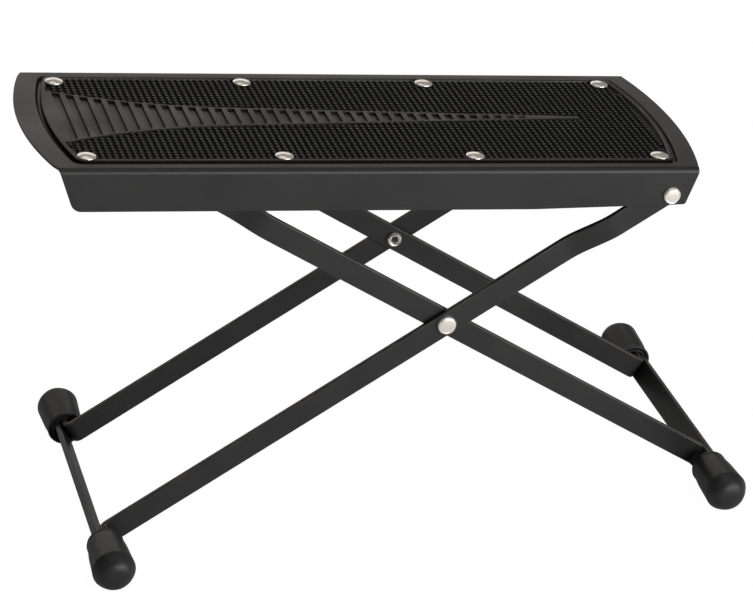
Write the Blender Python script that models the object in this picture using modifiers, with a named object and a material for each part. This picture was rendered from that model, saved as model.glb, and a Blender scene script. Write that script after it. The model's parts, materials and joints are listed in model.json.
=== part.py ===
"""A folding guitar footrest: a sheet-steel platform with a rubber mat on two crossed leg frames.

The outer leg frame carries the platform on two rivets at its upper end. The inner leg frame turns on
the outer one at the central rivets, and the catch rod across its upper end lies under one of five
pairs of notches in the racks below the platform, which sets the height.
Metres, +Z up, the floor at z = 0, +X along the platform and mirrored about the plane y = 0.
"""
import math

import bmesh
import bpy
from mathutils import Vector

# Shared fits
GAP = 0.0003
CUT_OVERRUN = 0.002
MERGE_DISTANCE = 0.000002

# Platform sheet
PLATE_WIDTH = 0.1165
PLATE_SIDE_LENGTH = 0.2994
HIGH_END_BULGE = 0.0097
LOW_END_BULGE = 0.0075
PANEL_END_BULGE = 0.0086
SHEET_THICKNESS = 0.0012
FOLD_RADIUS = 0.0026
SIDE_BORDER = 0.0068
END_BORDER = 0.0095
PANEL_DEPTH = 0.0016
PANEL_STEP_RUN = 0.0010
PANEL_CORNER_RADIUS = 0.005
FLANGE_DEPTH = 0.0203
FLANGE_LOW_END_DEPTH = 0.0182
FLANGE_TAPER_LENGTH = 0.078
FLANGE_TOP_INSET = 0.0006
FLANGE_LEFT_SLANT = 0.0068
FLANGE_RIGHT_SLANT = 0.0042
FLANGE_LEFT_CORNER = 0.0042
FLANGE_RIGHT_CORNER = 0.0012

# Rubber mat
MAT_FLOOR_THICKNESS = 0.0008
MAT_RIM_HEIGHT = 0.0013
MAT_RIM_WIDTH = 0.0011
GRAIN_PITCH = 0.00305
GRAIN_HEIGHT = 0.0008
GRAIN_FOOT_WIDTH = 0.0025
GRAIN_CREST_WIDTH = 0.0008
GRAIN_MARGIN = 0.0008
LADDER_HEIGHT = 0.00125
SPINE_START_INSET = 0.0097
SPINE_TIP_INSET = 0.0397
SPINE_HALF_WIDTH = 0.0147
SPINE_TIP_HALF_WIDTH = 0.0006
FLARE_LENGTH = 0.084
FLARE_HALF_WIDTH = 0.0158
FLARE_POWER = 2.25
SLOT_START_INSET = 0.0023
SLOT_TIP_MARGIN = 0.028
SLOT_PITCH = 0.00609
SLOT_WIDTH = 0.0034
SLOT_EDGE = 0.0008

# Rivets through mat and platform
RIVET_COUNT = 4
RIVET_END_INSET = 0.0147
RIVET_ROW_INSET = 0.01345
RIVET_HEAD_RADIUS = 0.0042
RIVET_HEAD_HEIGHT = 0.0015
RIVET_HEAD_EDGE = 0.0005
RIVET_SHANK_RADIUS = 0.0018
RIVET_TAIL_RADIUS = 0.0028
RIVET_TAIL_THICKNESS = 0.0009

# Leg frames, each one flat bar
BAR_WIDTH = 0.0114
BAR_THICKNESS = 0.0029
OUTER_FACE_INSET = 0.00745
OUTER_ARM = 0.1206
OUTER_LEG = 0.1893
OUTER_ANGLE = math.radians(28.95)
INNER_ARM = 0.1446
INNER_LEG = 0.1616
OUTER_JOGGLE_FROM_TOP = 0.0283
OUTER_JOGGLE_RUN = 0.0265
INNER_JOGGLE_FROM_TOP = 0.0220
INNER_JOGGLE_RUN = 0.0230
EAR_BEND_RADIUS = 0.0018
EAR_LAYER_GAP = 0.0010

# Rubber caps on the frames' ears
CAP_RADIUS = 0.0100
CAP_MOUTH_RADIUS = 0.0085
CAP_LENGTH = 0.0286
CAP_END_WALL = 0.0080
CAP_MOUTH_GAP = 0.0056
CAP_END_ROUNDING = 0.0042
CAP_END_DOME = 0.0008
CAP_LIP_WIDTH = 0.0010
CAP_GROOVE_DEPTH = 0.0009
CAP_BORE_RADIUS = 0.0068

# Joints and catch
PIVOT_FROM_END = 0.0116
PIVOT_DEPTH = 0.0134
PIVOT_SHANK_RADIUS = 0.0022
PIVOT_HEAD_RADIUS = 0.0039
PIVOT_HEAD_HEIGHT = 0.0016
PIVOT_TAIL_RADIUS = 0.0032
PIVOT_TAIL_THICKNESS = 0.0014
PIVOT_WASHER_RADIUS = 0.0048
PIVOT_WASHER_THICKNESS = 0.0006
CENTRE_SHANK_RADIUS = 0.0024
CENTRE_HEAD_RADIUS = 0.0048
CENTRE_HEAD_HEIGHT = 0.0018
CENTRE_TAIL_RADIUS = 0.0036
CENTRE_TAIL_LENGTH = 0.0020
CENTRE_TAIL_BORE = 0.0018
ROD_RADIUS = 0.0025
ROD_OVERHANG = 0.00235
ROD_CHAMFER = 0.0005
FOLD_ANGLE = math.radians(62.0)
SEAT_ANGLE = math.radians(0.6)
NOTCH_COUNT = 5
NOTCH_SIDE_CLEARANCE = 0.0006
RACK_THICKNESS = 0.0010
RACK_WEB_THICKNESS = 0.0015
RACK_WEB_TO_RIVET = 0.0070
RACK_SIDE_CLEARANCE = 0.00045
RACK_FLANGE_WIDTH = 0.0111
RACK_TOOTH = 0.0027
RACK_RIVET_MARGIN = 0.0070

# Facets
HEAD_STEPS = 16
DOME_STEPS = 5
CAP_STEPS = 28
HOLE_SIDES = 16
END_POINTS = 9
SIDE_POINTS = 3
CORNER_STEPS = 4
BEND_STEPS = 6
LADDER_STEPS = 16

SIDES = {"near": -1, "far": 1}

# Places worked out from the sizes above
HALF_WIDTH = PLATE_WIDTH / 2
HALF_SIDE = PLATE_SIDE_LENGTH / 2
SPINE_START = SPINE_START_INSET - HALF_SIDE
SPINE_TIP = HALF_SIDE - SPINE_TIP_INSET
FLARE_END = SPINE_START + FLARE_LENGTH
SLOT_START = SPINE_START + SLOT_START_INSET
SLOT_COUNT = int((SPINE_TIP - SLOT_TIP_MARGIN - SLOT_START) / SLOT_PITCH) + 1
RIVET_PITCH = (PLATE_SIDE_LENGTH - 2 * RIVET_END_INSET) / (RIVET_COUNT - 1)
OUTER_FACE_WIDTH = PLATE_WIDTH - 2 * OUTER_FACE_INSET
OUTER_LEG_Y = (OUTER_FACE_WIDTH - BAR_THICKNESS) / 2
INNER_LEG_Y = OUTER_LEG_Y - BAR_THICKNESS - GAP
CAP_SPAN = OUTER_FACE_WIDTH + 2 * (CAP_MOUTH_GAP + CAP_LENGTH)
EAR_SPAN = CAP_SPAN - 2 * CAP_END_WALL
FLANGE_INSIDE = HALF_WIDTH - SHEET_THICKNESS
OUTER_TOP_Y = FLANGE_INSIDE - PIVOT_WASHER_THICKNESS - 2 * GAP - BAR_THICKNESS / 2
RIVET_ROW_WIDTH = PLATE_WIDTH - 2 * RIVET_ROW_INSET
RACK_INSIDE = RIVET_ROW_WIDTH / 2 - RACK_WEB_TO_RIVET
INNER_TOP_Y = RACK_INSIDE + RACK_WEB_THICKNESS + RACK_SIDE_CLEARANCE + BAR_THICKNESS / 2
ROD_LENGTH = 2 * (INNER_TOP_Y + BAR_THICKNESS / 2 + ROD_OVERHANG)
PANEL_UNDERSIDE = PANEL_DEPTH + SHEET_THICKNESS
MAT_FLOOR = GAP - PANEL_DEPTH + MAT_FLOOR_THICKNESS
PIVOT_U = HALF_SIDE - PIVOT_FROM_END
CENTRE_HEIGHT = CAP_RADIUS + OUTER_LEG * math.sin(OUTER_ANGLE)
INNER_ANGLE = math.asin((CENTRE_HEIGHT - CAP_RADIUS) / INNER_LEG)
OPENING_ANGLE = math.pi - INNER_ANGLE - OUTER_ANGLE


def reach(fold):
    """Distance from the platform pivot to the rod when the legs are folded by this angle."""
    between = OPENING_ANGLE + fold
    square = OUTER_ARM ** 2 + INNER_ARM ** 2 - 2 * OUTER_ARM * INNER_ARM * math.cos(between)
    return math.sqrt(square)


REST_REACH = reach(0)
FOLDED_REACH = reach(FOLD_ANGLE)
PLATFORM_FALL = math.asin((INNER_ARM * math.sin(INNER_ANGLE) - OUTER_ARM * math.sin(OUTER_ANGLE)) / REST_REACH)
PLATE_X = (OUTER_ARM * math.cos(OUTER_ANGLE) - PIVOT_U * math.cos(PLATFORM_FALL)
           + PIVOT_DEPTH * math.sin(PLATFORM_FALL))
LEFT_END = PLATE_X - (HALF_SIDE + HIGH_END_BULGE) * math.cos(PLATFORM_FALL)
LEFT_END -= SHEET_THICKNESS * math.sin(PLATFORM_FALL)
RIGHT_END = INNER_LEG * math.cos(INNER_ANGLE) + CAP_RADIUS
CENTRE_X = -(LEFT_END + RIGHT_END) / 2
PIVOT_X = CENTRE_X + OUTER_ARM * math.cos(OUTER_ANGLE)
PIVOT_HEIGHT = CENTRE_HEIGHT + OUTER_ARM * math.sin(OUTER_ANGLE)


def collection(name):
    """A new collection linked to the scene."""
    made = bpy.data.collections.new(name)
    bpy.context.scene.collection.children.link(made)
    return made


def material(name, colour, roughness, metallic):
    """A plain Principled material."""
    made = bpy.data.materials.new(name)
    made.use_nodes = True
    shader = made.node_tree.nodes["Principled BSDF"]
    shader.inputs["Base Color"].default_value = (*colour, 1)
    shader.inputs["Roughness"].default_value = roughness
    shader.inputs["Metallic"].default_value = metallic
    return made


def add_object(name, mesh, group, parent=None, finish=None):
    """Links a mesh as an object, with its parent and material."""
    made = bpy.data.objects.new(name, mesh)
    group.objects.link(made)
    made.parent = parent
    if finish:
        mesh.materials.append(material(name + "_finish", *finish))
    return made


def pivot_empty(name, x, z, angle):
    """An empty on a joint's axis, whose X points up along the leg or down along the platform."""
    made = bpy.data.objects.new(name, None)
    parts.objects.link(made)
    made.location = (x, 0, z)
    made.rotation_euler = (0, -angle, 0)
    return made


def hide(cutter):
    """Marks an object as a guide that is never part of the model."""
    cutter.hide_render = True
    cutter.display_type = "WIRE"


def cut(target, cutter):
    """Subtracts a cutter from an object."""
    modifier = target.modifiers.new("cut_" + cutter.name, "BOOLEAN")
    modifier.operation = "DIFFERENCE"
    modifier.solver = "EXACT"
    modifier.object = cutter


def join(target, other):
    """Merges another solid into an object."""
    modifier = target.modifiers.new("join_" + other.name, "BOOLEAN")
    modifier.operation = "UNION"
    modifier.solver = "EXACT"
    modifier.object = other


def mirror_y(target):
    """Mirrors a half that is open at the plane y = 0."""
    modifier = target.modifiers.new("mirror", "MIRROR")
    modifier.use_axis = (False, True, False)
    modifier.merge_threshold = MERGE_DISTANCE


def thicken(target, thickness, offset):
    """Gives an open surface its thickness."""
    modifier = target.modifiers.new("thickness", "SOLIDIFY")
    modifier.thickness = thickness
    modifier.offset = offset
    modifier.use_even_offset = True


def smooth(mesh, angle=math.radians(35)):
    """Shades a mesh smooth apart from its sharp edges."""
    mesh.shade_smooth()
    mesh.set_sharp_from_angle(angle=angle)


def turned(name, profile, parent, finish, steps=HEAD_STEPS, closed=False):
    """A turned piece about its own Z, from a profile of radius and height that runs top to bottom."""
    mesh = bpy.data.meshes.new(name)
    edges = [(i, i + 1) for i in range(len(profile) - 1)]
    if closed:
        edges.append((len(profile) - 1, 0))
    mesh.from_pydata([(radius, 0, height) for radius, height in profile], edges, [])
    made = add_object(name, mesh, parts, parent, finish)
    modifier = made.modifiers.new("turn", "SCREW")
    modifier.steps = steps
    modifier.render_steps = steps
    modifier.use_merge_vertices = True
    modifier.merge_threshold = MERGE_DISTANCE
    return made


def dome(radius, height, base):
    """Points of a low dome from its crown down to its rim."""
    sphere = (radius ** 2 + height ** 2) / (2 * height)
    span = math.asin(radius / sphere)
    points = []
    for i in range(DOME_STEPS + 1):
        angle = span * i / DOME_STEPS
        points.append((sphere * math.sin(angle), base + height - sphere * (1 - math.cos(angle))))
    points[0] = (0, base + height)
    return points


def rivet_profile(head_radius, head_height, shank_radius, grip, tail_radius, tail_thickness):
    """A rivet from its low head, seated at height zero, to its flat formed tail."""
    points = dome(head_radius, head_height - RIVET_HEAD_EDGE, RIVET_HEAD_EDGE)
    points.append((head_radius, 0))
    points.append((shank_radius, 0))
    points.append((shank_radius, -grip))
    points.append((tail_radius, -grip))
    points.append((tail_radius, -grip - tail_thickness))
    points.append((0, -grip - tail_thickness))
    return points


def cylinder_cutters(name, places, radius, length, axis, parent):
    """One cutter of many cylinders along local Z or Y, each through a place."""
    bm = bmesh.new()
    for place in places:
        made = bmesh.ops.create_cone(bm, cap_ends=True, segments=HOLE_SIDES, radius1=radius, radius2=radius,
                                     depth=length)
        if axis == "Y":
            for vertex in made["verts"]:
                vertex.co.y, vertex.co.z = -vertex.co.z, vertex.co.y
        bmesh.ops.translate(bm, verts=made["verts"], vec=place)
    mesh = bpy.data.meshes.new(name)
    bm.to_mesh(mesh)
    bm.free()
    cutter = add_object(name, mesh, cutters, parent)
    hide(cutter)
    return cutter


def box_bmesh(bm, low, high):
    """Adds a box between two corners."""
    made = bmesh.ops.create_cube(bm, size=1)
    for vertex in made["verts"]:
        for i in range(3):
            vertex.co[i] = (low[i] + high[i]) / 2 + vertex.co[i] * (high[i] - low[i])


def end_reach(side_inset, end_inset, corner, bulge=PANEL_END_BULGE):
    """The end arc's radius and middle, and the corner fillet's middle, for an inset outline."""
    radius = (HALF_WIDTH ** 2 + bulge ** 2) / (2 * bulge)
    middle = HALF_SIDE + bulge - radius
    side = HALF_WIDTH - side_inset
    arc = radius - end_inset
    fillet = middle + math.sqrt((arc - corner) ** 2 - (side - corner) ** 2)
    return arc, middle, side, fillet


def rounded_end(side_inset, end_inset, corner):
    """The right end's quarter of the panel's outline, inset, from the middle round the corner."""
    arc, middle, side, fillet = end_reach(side_inset, end_inset, corner)
    start = math.atan2(side - corner, fillet - middle)
    quarter = []
    for i in range(END_POINTS):
        angle = start * i / END_POINTS
        quarter.append((middle + arc * math.cos(angle), arc * math.sin(angle)))
    for i in range(CORNER_STEPS + 1):
        angle = start + (math.pi / 2 - start) * i / CORNER_STEPS
        quarter.append((fillet + corner * math.cos(angle), side - corner + corner * math.sin(angle)))
    return quarter


def square_end(side_inset, bulge, corner_zone):
    """The same quarter with a sharp corner, its last points spread over a zone round it."""
    arc, middle, side, corner = end_reach(side_inset, 0, 0, bulge)
    last = math.asin((side - corner_zone) / arc)
    start = math.asin(side / arc)
    half_steps = CORNER_STEPS // 2
    angles = [last * i / END_POINTS for i in range(END_POINTS)]
    angles += [last + (start - last) * i / half_steps for i in range(half_steps)]
    quarter = [(middle + arc * math.cos(angle), arc * math.sin(angle)) for angle in angles]
    return quarter + [(corner - corner_zone * i / half_steps, side) for i in range(half_steps + 1)]


def half_outline(left_quarter, right_quarter):
    """Half of an outline, from the left end round the near side to the right end."""
    left = [(-x, -y) for x, y in left_quarter]
    right = [(x, -y) for x, y in right_quarter]
    near = left[-1][1]
    gap = right[-1][0] - left[-1][0]
    run = [(left[-1][0] + gap * i / SIDE_POINTS, near) for i in range(1, SIDE_POINTS)]
    return left + run + right[::-1]


def inset_outline(side_inset, end_inset, corner):
    """Half of the panel's outline, inset from the platform's sides and ends."""
    quarter = rounded_end(side_inset, end_inset, corner)
    return half_outline(quarter, quarter)


def ring_of(bm, points, height):
    """Vertices of an outline at a height."""
    return [bm.verts.new((x, y, height)) for x, y in points]


def bridge(bm, first, second):
    """Quads between two rows of vertices."""
    for i in range(len(first) - 1):
        bm.faces.new((first[i], first[i + 1], second[i + 1], second[i]))


def rounded_corner(before, corner, after, radius):
    """Points of a fillet between two straight runs."""
    before, corner, after = (Vector(point) for point in (before, corner, after))
    back, ahead = (before - corner).normalized(), (after - corner).normalized()
    half = back.angle(ahead) / 2
    centre = corner + (back + ahead).normalized() * radius / math.sin(half)
    start = corner + back * radius / math.tan(half) - centre
    end = corner + ahead * radius / math.tan(half) - centre
    points = []
    for i in range(CORNER_STEPS + 1):
        share = i / CORNER_STEPS
        points.append(tuple(centre + (start * (1 - share) + end * share).normalized() * radius))
    return points


def flange_outline(start, end):
    """The flange's free edge from its right top corner round to its left one, as x and depth."""
    right_low = (end - FLANGE_RIGHT_SLANT, FLANGE_LOW_END_DEPTH)
    left_low = (start + FLANGE_LEFT_SLANT, FLANGE_DEPTH)
    bend = (end - FLANGE_TAPER_LENGTH, FLANGE_DEPTH)
    points = rounded_corner((end, FOLD_RADIUS), right_low, bend, FLANGE_RIGHT_CORNER)
    points.append(bend)
    points += rounded_corner(bend, left_low, (start, FOLD_RADIUS), FLANGE_LEFT_CORNER)
    return points


def make_top_plate():
    """The sunk panel, the border and the folded flanges of the platform, one sheet."""
    bm = bmesh.new()
    left_end = square_end(FOLD_RADIUS, HIGH_END_BULGE, PANEL_CORNER_RADIUS)
    right_end = square_end(FOLD_RADIUS, LOW_END_BULGE, PANEL_CORNER_RADIUS)
    outer = ring_of(bm, half_outline(left_end, right_end), 0)
    edge = ring_of(bm, inset_outline(SIDE_BORDER, END_BORDER, PANEL_CORNER_RADIUS), 0)
    foot_corner = PANEL_CORNER_RADIUS - PANEL_STEP_RUN / 2
    foot_outline = inset_outline(SIDE_BORDER + PANEL_STEP_RUN, END_BORDER + PANEL_STEP_RUN, foot_corner)
    foot = ring_of(bm, foot_outline, -PANEL_DEPTH)
    bridge(bm, outer, edge)
    bridge(bm, edge, foot)
    bm.faces.new(foot)
    corner = END_POINTS + CORNER_STEPS // 2
    row = outer[corner:len(outer) - corner]
    start, end = row[0].co.x, row[-1].co.x
    shares = [(vertex.co.x - start) / (end - start) for vertex in row]
    for i in range(1, CORNER_STEPS + 1):
        angle = math.pi / 2 * i / CORNER_STEPS
        y = -HALF_WIDTH + FOLD_RADIUS * (1 - math.sin(angle))
        depth = FOLD_RADIUS * (1 - math.cos(angle))
        left = start + FLANGE_TOP_INSET * i / CORNER_STEPS
        right = end - FLANGE_TOP_INSET * i / CORNER_STEPS
        low = [bm.verts.new((left + (right - left) * share, y, -depth)) for share in shares]
        bridge(bm, low, row)
        row = low
    rim = [bm.verts.new((x, -HALF_WIDTH, -depth)) for x, depth in flange_outline(left, right)]
    bm.faces.new(row[::-1] + rim[::-1])
    bmesh.ops.recalc_face_normals(bm, faces=bm.faces)
    mesh = bpy.data.meshes.new("top_plate")
    bm.to_mesh(mesh)
    bm.free()
    smooth(mesh)
    plate = add_object("top_plate", mesh, parts, platform_pivot, POWDER_BLACK)
    plate.location = PLATE_ORIGIN
    mirror_y(plate)
    thicken(plate, SHEET_THICKNESS, -1)
    cut(plate, panel_holes)
    cut(plate, pivot_holes)
    return plate


def spine_half_width(x):
    """Half the width of the mat's tapering ladder, which flares out towards the high end."""
    share = (SPINE_TIP - x) / (SPINE_TIP - SPINE_START)
    flare = max(FLARE_END - x, 0) / (FLARE_END - SPINE_START)
    straight = SPINE_TIP_HALF_WIDTH + (SPINE_HALF_WIDTH - SPINE_TIP_HALF_WIDTH) * share
    return straight + FLARE_HALF_WIDTH * flare ** FLARE_POWER


def ladder_outline(arc, middle):
    """The ladder from its tip round to its high end, which follows the end of the platform."""
    low = []
    for i in range(LADDER_STEPS + 1):
        x = SPINE_TIP + (SPINE_START - SPINE_TIP) * i / LADDER_STEPS
        low.append((x, -spine_half_width(x)))
    half = spine_half_width(SPINE_START)
    for i in range(END_POINTS):
        y = half * (i / END_POINTS - 1)
        low.append((-middle - math.sqrt(arc ** 2 - y ** 2), y))
    crown = (-middle - arc, 0)
    return low + [crown] + [(x, -y) for x, y in low[::-1]]


def add_ridge(bm, x, start, end, foot, crest):
    """One blunt ridge of the mat's grain, across the platform."""
    made = bmesh.ops.create_cube(bm, size=1)
    for vertex in made["verts"]:
        width = GRAIN_CREST_WIDTH if vertex.co.z > 0 else GRAIN_FOOT_WIDTH
        vertex.co.x = x + vertex.co.x * width
        vertex.co.y = end if vertex.co.y > 0 else start
        vertex.co.z = crest if vertex.co.z > 0 else foot


def make_mat_relief():
    """The raised shapes of the mat: the ladder before its slots are cut, and the rows of grain."""
    inset = PANEL_STEP_RUN + GAP + MAT_RIM_WIDTH + GRAIN_MARGIN
    arc, middle, side, _ = end_reach(SIDE_BORDER + inset, END_BORDER + inset, 0)
    foot = MAT_FLOOR - MAT_FLOOR_THICKNESS / 2
    bm = bmesh.new()
    outline = ladder_outline(arc, middle)
    low = ring_of(bm, outline, foot)
    high = ring_of(bm, outline, MAT_FLOOR + LADDER_HEIGHT)
    bm.faces.new(low)
    bm.faces.new(high)
    bridge(bm, low + low[:1], high + high[:1])
    columns = int(HALF_SIDE / GRAIN_PITCH)
    for i in range(-columns, columns + 1):
        x = GRAIN_PITCH * i
        reach_y = math.sqrt(max(arc ** 2 - (abs(x) - middle + GRAIN_FOOT_WIDTH) ** 2, 0))
        outside = min(side, reach_y)
        spans = [(-outside, outside)]
        if x - GRAIN_FOOT_WIDTH < SPINE_TIP:
            inside = spine_half_width(x - GRAIN_FOOT_WIDTH) + GRAIN_MARGIN
            spans = [(-outside, -inside), (inside, outside)]
        for start, end in spans:
            if end - start > GRAIN_PITCH:
                add_ridge(bm, x, start, end, foot, MAT_FLOOR + GRAIN_HEIGHT)
    bmesh.ops.recalc_face_normals(bm, faces=bm.faces)
    mesh = bpy.data.meshes.new("mat_relief")
    bm.to_mesh(mesh)
    bm.free()
    relief = add_object("mat_relief", mesh, cutters, platform_pivot)
    relief.location = PLATE_ORIGIN
    hide(relief)
    return relief


def make_mat():
    """The rubber mat, with its raised rim, its rows of grain and the slots of its tapering ladder."""
    side = SIDE_BORDER + PANEL_STEP_RUN + GAP
    end = END_BORDER + PANEL_STEP_RUN + GAP
    corner = PANEL_CORNER_RADIUS - PANEL_STEP_RUN
    crest = MAT_FLOOR + MAT_RIM_HEIGHT
    bm = bmesh.new()
    low = ring_of(bm, inset_outline(side, end, corner), MAT_FLOOR - MAT_FLOOR_THICKNESS)
    high = ring_of(bm, inset_outline(side, end, corner), crest)
    inner = inset_outline(side + MAT_RIM_WIDTH, end + MAT_RIM_WIDTH, corner - MAT_RIM_WIDTH)
    crest_ring = ring_of(bm, inner, crest)
    field = ring_of(bm, inner, MAT_FLOOR)
    bm.faces.new(low[::-1])
    bridge(bm, low, high)
    bridge(bm, high, crest_ring)
    bridge(bm, crest_ring, field)
    bm.faces.new(field)
    bmesh.ops.recalc_face_normals(bm, faces=bm.faces)
    mesh = bpy.data.meshes.new("rubber_mat")
    bm.to_mesh(mesh)
    bm.free()
    mat = add_object("rubber_mat", mesh, parts, platform_pivot, RUBBER_MAT)
    mat.location = PLATE_ORIGIN
    mirror_y(mat)
    join(mat, make_mat_relief())
    slots = bmesh.new()
    for i in range(SLOT_COUNT):
        x = SLOT_START + SLOT_PITCH * i
        half = spine_half_width(x + SLOT_WIDTH / 2) - SLOT_EDGE
        box_bmesh(slots, (x - SLOT_WIDTH / 2, -half, MAT_FLOOR),
                  (x + SLOT_WIDTH / 2, half, MAT_FLOOR + LADDER_HEIGHT + CUT_OVERRUN))
    slot_mesh = bpy.data.meshes.new("mat_slots")
    slots.to_mesh(slot_mesh)
    slots.free()
    slot_cutter = add_object("mat_slots", slot_mesh, cutters, platform_pivot)
    slot_cutter.location = PLATE_ORIGIN
    hide(slot_cutter)
    cut(mat, slot_cutter)
    cut(mat, panel_holes)
    return mat


def make_mat_rivets():
    """Eight domed rivets, four a side. The left two of each side also hold a rack."""
    seat = MAT_FLOOR + GRAIN_HEIGHT + GAP
    for side, sign in SIDES.items():
        for number, x in enumerate(RIVET_PLACES, 1):
            rack = RACK_THICKNESS + GAP if number <= 2 else 0
            grip = seat + PANEL_UNDERSIDE + rack + GAP
            profile = rivet_profile(RIVET_HEAD_RADIUS, RIVET_HEAD_HEIGHT, RIVET_SHANK_RADIUS, grip,
                                    RIVET_TAIL_RADIUS, RIVET_TAIL_THICKNESS)
            rivet = turned(f"mat_rivet_{side}_{number}", profile, platform_pivot, NICKEL)
            rivet.location = (x - PIVOT_U, sign * RIVET_ROW_WIDTH / 2, PIVOT_DEPTH + seat)


def notch_places():
    """Each notch's place along the platform and the depth of its top."""
    places = []
    for i in range(NOTCH_COUNT):
        away = REST_REACH + (FOLDED_REACH - REST_REACH) * i / (NOTCH_COUNT - 1)
        top = PIVOT_DEPTH - away * math.sin(SEAT_ANGLE) - ROD_RADIUS - GAP
        places.append((PIVOT_U - away, top))
    return places


def make_rack(side, sign):
    """One angle strip under the panel, riveted through its flange, with notches in its web."""
    top = PANEL_UNDERSIDE + GAP
    tip = PIVOT_DEPTH - ROD_RADIUS - GAP
    half_notch = ROD_RADIUS + NOTCH_SIDE_CLEARANCE
    places = notch_places()
    web_right = places[0][0] + half_notch + RACK_TOOTH
    web_left = places[-1][0] - half_notch - RACK_TOOTH
    bm = bmesh.new()
    box_bmesh(bm, (RIVET_PLACES[0] - RACK_RIVET_MARGIN, RACK_INSIDE, -top - RACK_THICKNESS),
              (RIVET_PLACES[1] + RACK_RIVET_MARGIN, RACK_INSIDE + RACK_FLANGE_WIDTH, -top))
    mesh = bpy.data.meshes.new("catch_rack_" + side)
    bm.to_mesh(mesh)
    bm.free()
    rack = add_object("catch_rack_" + side, mesh, parts, platform_pivot, ZINC)
    rack.location = PLATE_ORIGIN
    rack.scale = (1, sign, 1)
    web = bmesh.new()
    box_bmesh(web, (web_left, RACK_INSIDE, -tip), (web_right, RACK_INSIDE + RACK_WEB_THICKNESS, -top))
    web_mesh = bpy.data.meshes.new("rack_web_" + side)
    web.to_mesh(web_mesh)
    web.free()
    web_object = add_object("rack_web_" + side, web_mesh, cutters, platform_pivot)
    web_object.location = PLATE_ORIGIN
    web_object.scale = (1, sign, 1)
    hide(web_object)
    join(rack, web_object)
    notches = bmesh.new()
    for x, notch_top in places:
        made = bmesh.ops.create_cone(notches, cap_ends=True, segments=HOLE_SIDES, radius1=half_notch,
                                     radius2=half_notch, depth=RACK_WEB_THICKNESS + 2 * CUT_OVERRUN)
        for vertex in made["verts"]:
            vertex.co.y, vertex.co.z = -vertex.co.z, vertex.co.y
            if vertex.co.z < 0:
                vertex.co.z -= tip
        centre = (x, RACK_INSIDE + RACK_WEB_THICKNESS / 2, -notch_top - half_notch)
        bmesh.ops.translate(notches, verts=made["verts"], vec=centre)
    notch_mesh = bpy.data.meshes.new("notches_" + side)
    notches.to_mesh(notch_mesh)
    notches.free()
    notch_cutter = add_object("notches_" + side, notch_mesh, cutters, platform_pivot)
    notch_cutter.location = PLATE_ORIGIN
    notch_cutter.scale = (1, sign, 1)
    hide(notch_cutter)
    cut(rack, notch_cutter)
    cut(rack, panel_holes)
    return rack


def arc_points(centre, radius, start, stop, steps):
    """Points along an arc, with angles in degrees."""
    points = []
    for i in range(steps + 1):
        angle = math.radians(start + (stop - start) * i / steps)
        points.append((centre[0] + radius * math.cos(angle), centre[1] + radius * math.sin(angle)))
    return points


def frame_path(arm, leg, leg_y, top_y, joggle_from_top, joggle_run):
    """Half of a leg frame's centre line, from the middle of its cross bar to its upper pivot.

    The bar runs along the cross bar, folds back on itself inside the foot cap, and bends up into the
    leg, which steps sideways near its top.
    """
    fold = (BAR_THICKNESS + EAR_LAYER_GAP) / 2
    tip = (EAR_SPAN - BAR_THICKNESS) / 2 - fold
    bend = EAR_BEND_RADIUS + BAR_THICKNESS / 2
    points = [(-leg - fold, 0)]
    points += arc_points((-leg, tip), fold, 180, 0, BEND_STEPS)
    points += arc_points((-leg + fold + bend, leg_y + bend), bend, 180, 270, BEND_STEPS)
    low = arm - joggle_from_top - joggle_run
    for i in range(BEND_STEPS + 1):
        share = i / BEND_STEPS
        ease = share * share * (3 - 2 * share)
        points.append((low + joggle_run * share, leg_y + (top_y - leg_y) * ease))
    points.append((arm, top_y))
    return points


def make_frame(name, path, parent, holes):
    """A leg frame: a ribbon along the path, as wide as the bar, with rounded tops."""
    half = BAR_WIDTH / 2
    stations = [(x, y, half) for x, y in path]
    arm, top_y = path[-1]
    for i in range(1, BEND_STEPS + 1):
        angle = math.pi / 2 * i / BEND_STEPS
        stations.append((arm + half * math.sin(angle), top_y, half * math.cos(angle)))
    bm = bmesh.new()
    upper = [bm.verts.new((x, -y, z)) for x, y, z in stations]
    lower = [bm.verts.new((x, -y, -z)) for x, y, z in stations]
    bridge(bm, upper, lower)
    bmesh.ops.remove_doubles(bm, verts=bm.verts, dist=MERGE_DISTANCE)
    mesh = bpy.data.meshes.new(name)
    bm.to_mesh(mesh)
    bm.free()
    smooth(mesh)
    frame = add_object(name, mesh, parts, parent, POWDER_BLACK)
    mirror_y(frame)
    thicken(frame, BAR_THICKNESS, 0)
    cut(frame, holes)
    return frame


def cap_profile():
    """A tapered rubber cap, from its rounded outer end at the top to its lipped mouth at zero."""
    end = CAP_LENGTH - CAP_END_DOME
    flat = CAP_RADIUS - CAP_END_ROUNDING
    points = [(0, CAP_LENGTH), (flat, end)]
    for i in range(1, CORNER_STEPS + 1):
        angle = math.pi / 2 * i / CORNER_STEPS
        points.append((flat + CAP_END_ROUNDING * math.sin(angle), end - CAP_END_ROUNDING * (1 - math.cos(angle))))
    lip = CAP_LIP_WIDTH / 2
    points.append((CAP_MOUTH_RADIUS, lip))
    points.append((CAP_MOUTH_RADIUS - lip, 0))
    points.append((CAP_MOUTH_RADIUS - CAP_LIP_WIDTH, CAP_GROOVE_DEPTH))
    points.append((CAP_BORE_RADIUS, CAP_GROOVE_DEPTH))
    depth = CAP_LENGTH - CAP_END_WALL + GAP
    points.append((CAP_BORE_RADIUS, depth))
    points.append((0, depth))
    return points


def make_caps(kind, leg, parent):
    """The two rubber caps of one leg frame."""
    for side, sign in SIDES.items():
        cap = turned(f"{kind}_foot_cap_{side}", cap_profile(), parent, RUBBER_CAP, CAP_STEPS)
        cap.location = (-leg, sign * (CAP_SPAN / 2 - CAP_LENGTH), 0)
        cap.rotation_euler = (-sign * math.pi / 2, 0, 0)


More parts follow.
